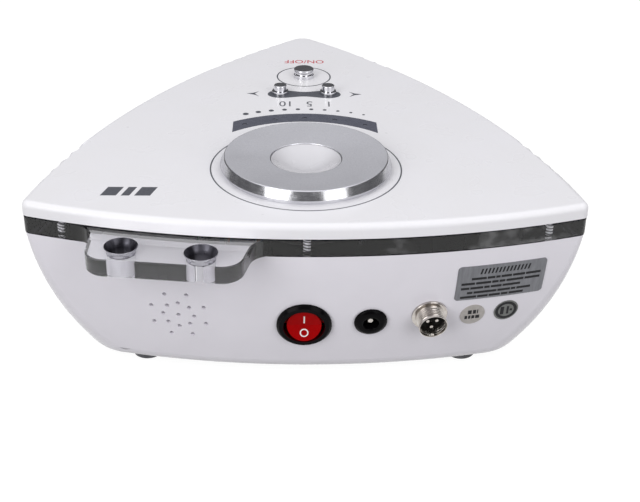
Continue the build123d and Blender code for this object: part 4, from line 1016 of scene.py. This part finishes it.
# Studio
# Pale floor, a dark room that only polished pieces mirror, two upright soft boxes in front, a
# wide soft box overhead, and the camera where the photograph was taken. Lengths are in metres.

FLOOR_HALF = 4.0
FLOOR_GLOW = 0.93                # brings the floor up to white for the camera
ROOM_R = 3.2
ROOM_FOOT = -0.02                # the room's dome starts just under the floor, in radians
ROOM_TURNS = (0.5, 0.68)         # heights as a share of its radius where its glow changes
ROOM_DIM = (0.12, 0.95)          # its glow low down and high up
WORLD_GLOW = (0.62, 1.0)         # on the object, and for the camera
LOOK_AT = (0.0, 0.0, 0.04)
BOX_TURNS = (-38.0, 38.0)
BOX_FAR = 2.2
BOX_HIGH = 25.0
BOX_SIZE = (1.05, 1.6)
BOX_WATTS = (20.0, 11.5)
TOP_AT = (0.0, 0.3, 1.45)
TOP_SIZE = (1.9, 1.1)
TOP_WATT = 3.0
CAMERA_AT = (-0.00732, REAR_Y / 1000 - 0.41029, 0.29849)
CAMERA_DOWN = 29.14
CAMERA_YAW = -1.72
CAMERA_ROLL = 1.06
LENS_MM = 67.5
SENSOR_MM = 36.0


def seen(owner):
    """1 for the camera's rays and for those that polished and clear pieces send on."""
    path = node(owner, "ShaderNodeLightPath")
    return joined(owner, "MAXIMUM", *[path.outputs[ray] for ray in (
        "Is Camera Ray", "Is Glossy Ray", "Is Transmission Ray")])


def staged(name, mesh, material):
    """Object of the studio round the piece."""
    mesh.materials.append(material)
    backdrop = bpy.data.objects.new(name, mesh)
    bpy.context.scene.collection.objects.link(backdrop)
    return backdrop


edge = np.array([-1.0, 1.0]) * FLOOR_HALF * 1000
floor_grid = np.stack(np.broadcast_arrays(edge[:, None], edge[None, :], 0.0), -1)
floor_pale = finish("floor_pale", (104, 104, 104), 0.9)
tones(floor_pale, grain(floor_pale, 3), (102, 102, 102), (106, 106, 106))
tree = floor_pale.node_tree
glow = node(floor_pale, "ShaderNodeEmission")
both = node(floor_pale, "ShaderNodeAddShader")
tree.links.new(share_of(floor_pale, seen(floor_pale), FLOOR_GLOW), glow.inputs["Strength"])
tree.links.new(shader_of(floor_pale).outputs[0], both.inputs[0])
tree.links.new(glow.outputs[0], both.inputs[1])
tree.links.new(both.outputs[0], tree.nodes["Material Output"].inputs["Surface"])
floor_mesh = bpy.data.meshes.new("pale_floor")
floor_mesh.from_pydata((floor_grid.reshape(-1, 3) / 1000).tolist(), [], [(0, 2, 3, 1)])
staged("pale_floor", floor_mesh, floor_pale)

world = bpy.data.worlds.new("soft_room")
bpy.context.scene.world = world
world.use_nodes = True
background = world.node_tree.nodes["Background"]
background.inputs["Color"].default_value = (1.0, 1.0, 1.0, 1.0)
world.node_tree.links.new(spread(world, seen(world), 0.0, 1.0, *WORLD_GLOW), background.inputs["Strength"])

t = np.linspace(0, 2 * math.pi, 49)
up = np.linspace(ROOM_FOOT, math.pi / 2, 20)[:, None]
dome = np.stack(np.broadcast_arrays(np.cos(up) * np.cos(t), np.cos(up) * np.sin(t), np.sin(up)), -1)
room_dark = finish("room_dark", (40, 40, 44), 1.0)
tree = room_dark.node_tree
dim = node(room_dark, "ShaderNodeEmission")
dim.inputs["Color"].default_value = (0.96, 0.96, 1.0, 1.0)
point = node(room_dark, "ShaderNodeTexCoord")
parts = node(room_dark, "ShaderNodeSeparateXYZ")
tree.links.new(point.outputs["Object"], parts.inputs[0])
climb = spread(room_dark, parts.outputs["Z"], *[turn * ROOM_R for turn in ROOM_TURNS], *ROOM_DIM)
tree.links.new(climb, dim.inputs["Strength"])
tree.links.new(dim.outputs[0], tree.nodes["Material Output"].inputs["Surface"])
room = staged("dark_room", surface("dark_room", dome * ROOM_R * 1000), room_dark)
room.visible_camera = False
room.visible_diffuse = False
room.visible_shadow = False
room.visible_transmission = False


def soft_box(name, place, size, watt):
    """Area lamp of a size that looks at the object's middle."""
    lamp = bpy.data.lights.new(name, "AREA")
    lamp.shape = "RECTANGLE"
    lamp.size, lamp.size_y = size
    lamp.energy = watt
    out = np.array(place) - LOOK_AT
    out = out / np.linalg.norm(out)
    right = np.cross(UPRIGHT, out)
    right = right / np.linalg.norm(right)
    turn = np.stack([right, np.cross(out, right), out], -1)
    stand = bpy.data.objects.new(name, lamp)
    stand.matrix_world = Matrix.Translation(place) @ Matrix(turn.tolist()).to_4x4()
    stand.visible_camera = False
    bpy.context.scene.collection.objects.link(stand)


for name, degrees, watt in zip(("soft_box_left", "soft_box_right"), BOX_TURNS, BOX_WATTS):
    turn, tip = math.radians(degrees), math.radians(BOX_HIGH)
    spot = (BOX_FAR * math.sin(turn) * math.cos(tip), -BOX_FAR * math.cos(turn) * math.cos(tip),
            LOOK_AT[2] + BOX_FAR * math.sin(tip))
    soft_box(name, spot, BOX_SIZE, watt)
soft_box("soft_box_top", TOP_AT, TOP_SIZE, TOP_WATT)

lens = bpy.data.cameras.new("photo_camera")
lens.lens = LENS_MM
lens.sensor_width = SENSOR_MM
camera = bpy.data.objects.new("photo_camera", lens)
camera.matrix_world = (Matrix.Translation(CAMERA_AT)
                       @ Matrix.Rotation(math.radians(CAMERA_YAW), 4, "Z")
                       @ Matrix.Rotation(math.radians(90 - CAMERA_DOWN), 4, "X")
                       @ Matrix.Rotation(math.radians(CAMERA_ROLL), 4, "Z"))
bpy.context.scene.collection.objects.link(camera)
bpy.context.scene.camera = camera
bpy.context.scene.view_settings.view_transform = "Standard"
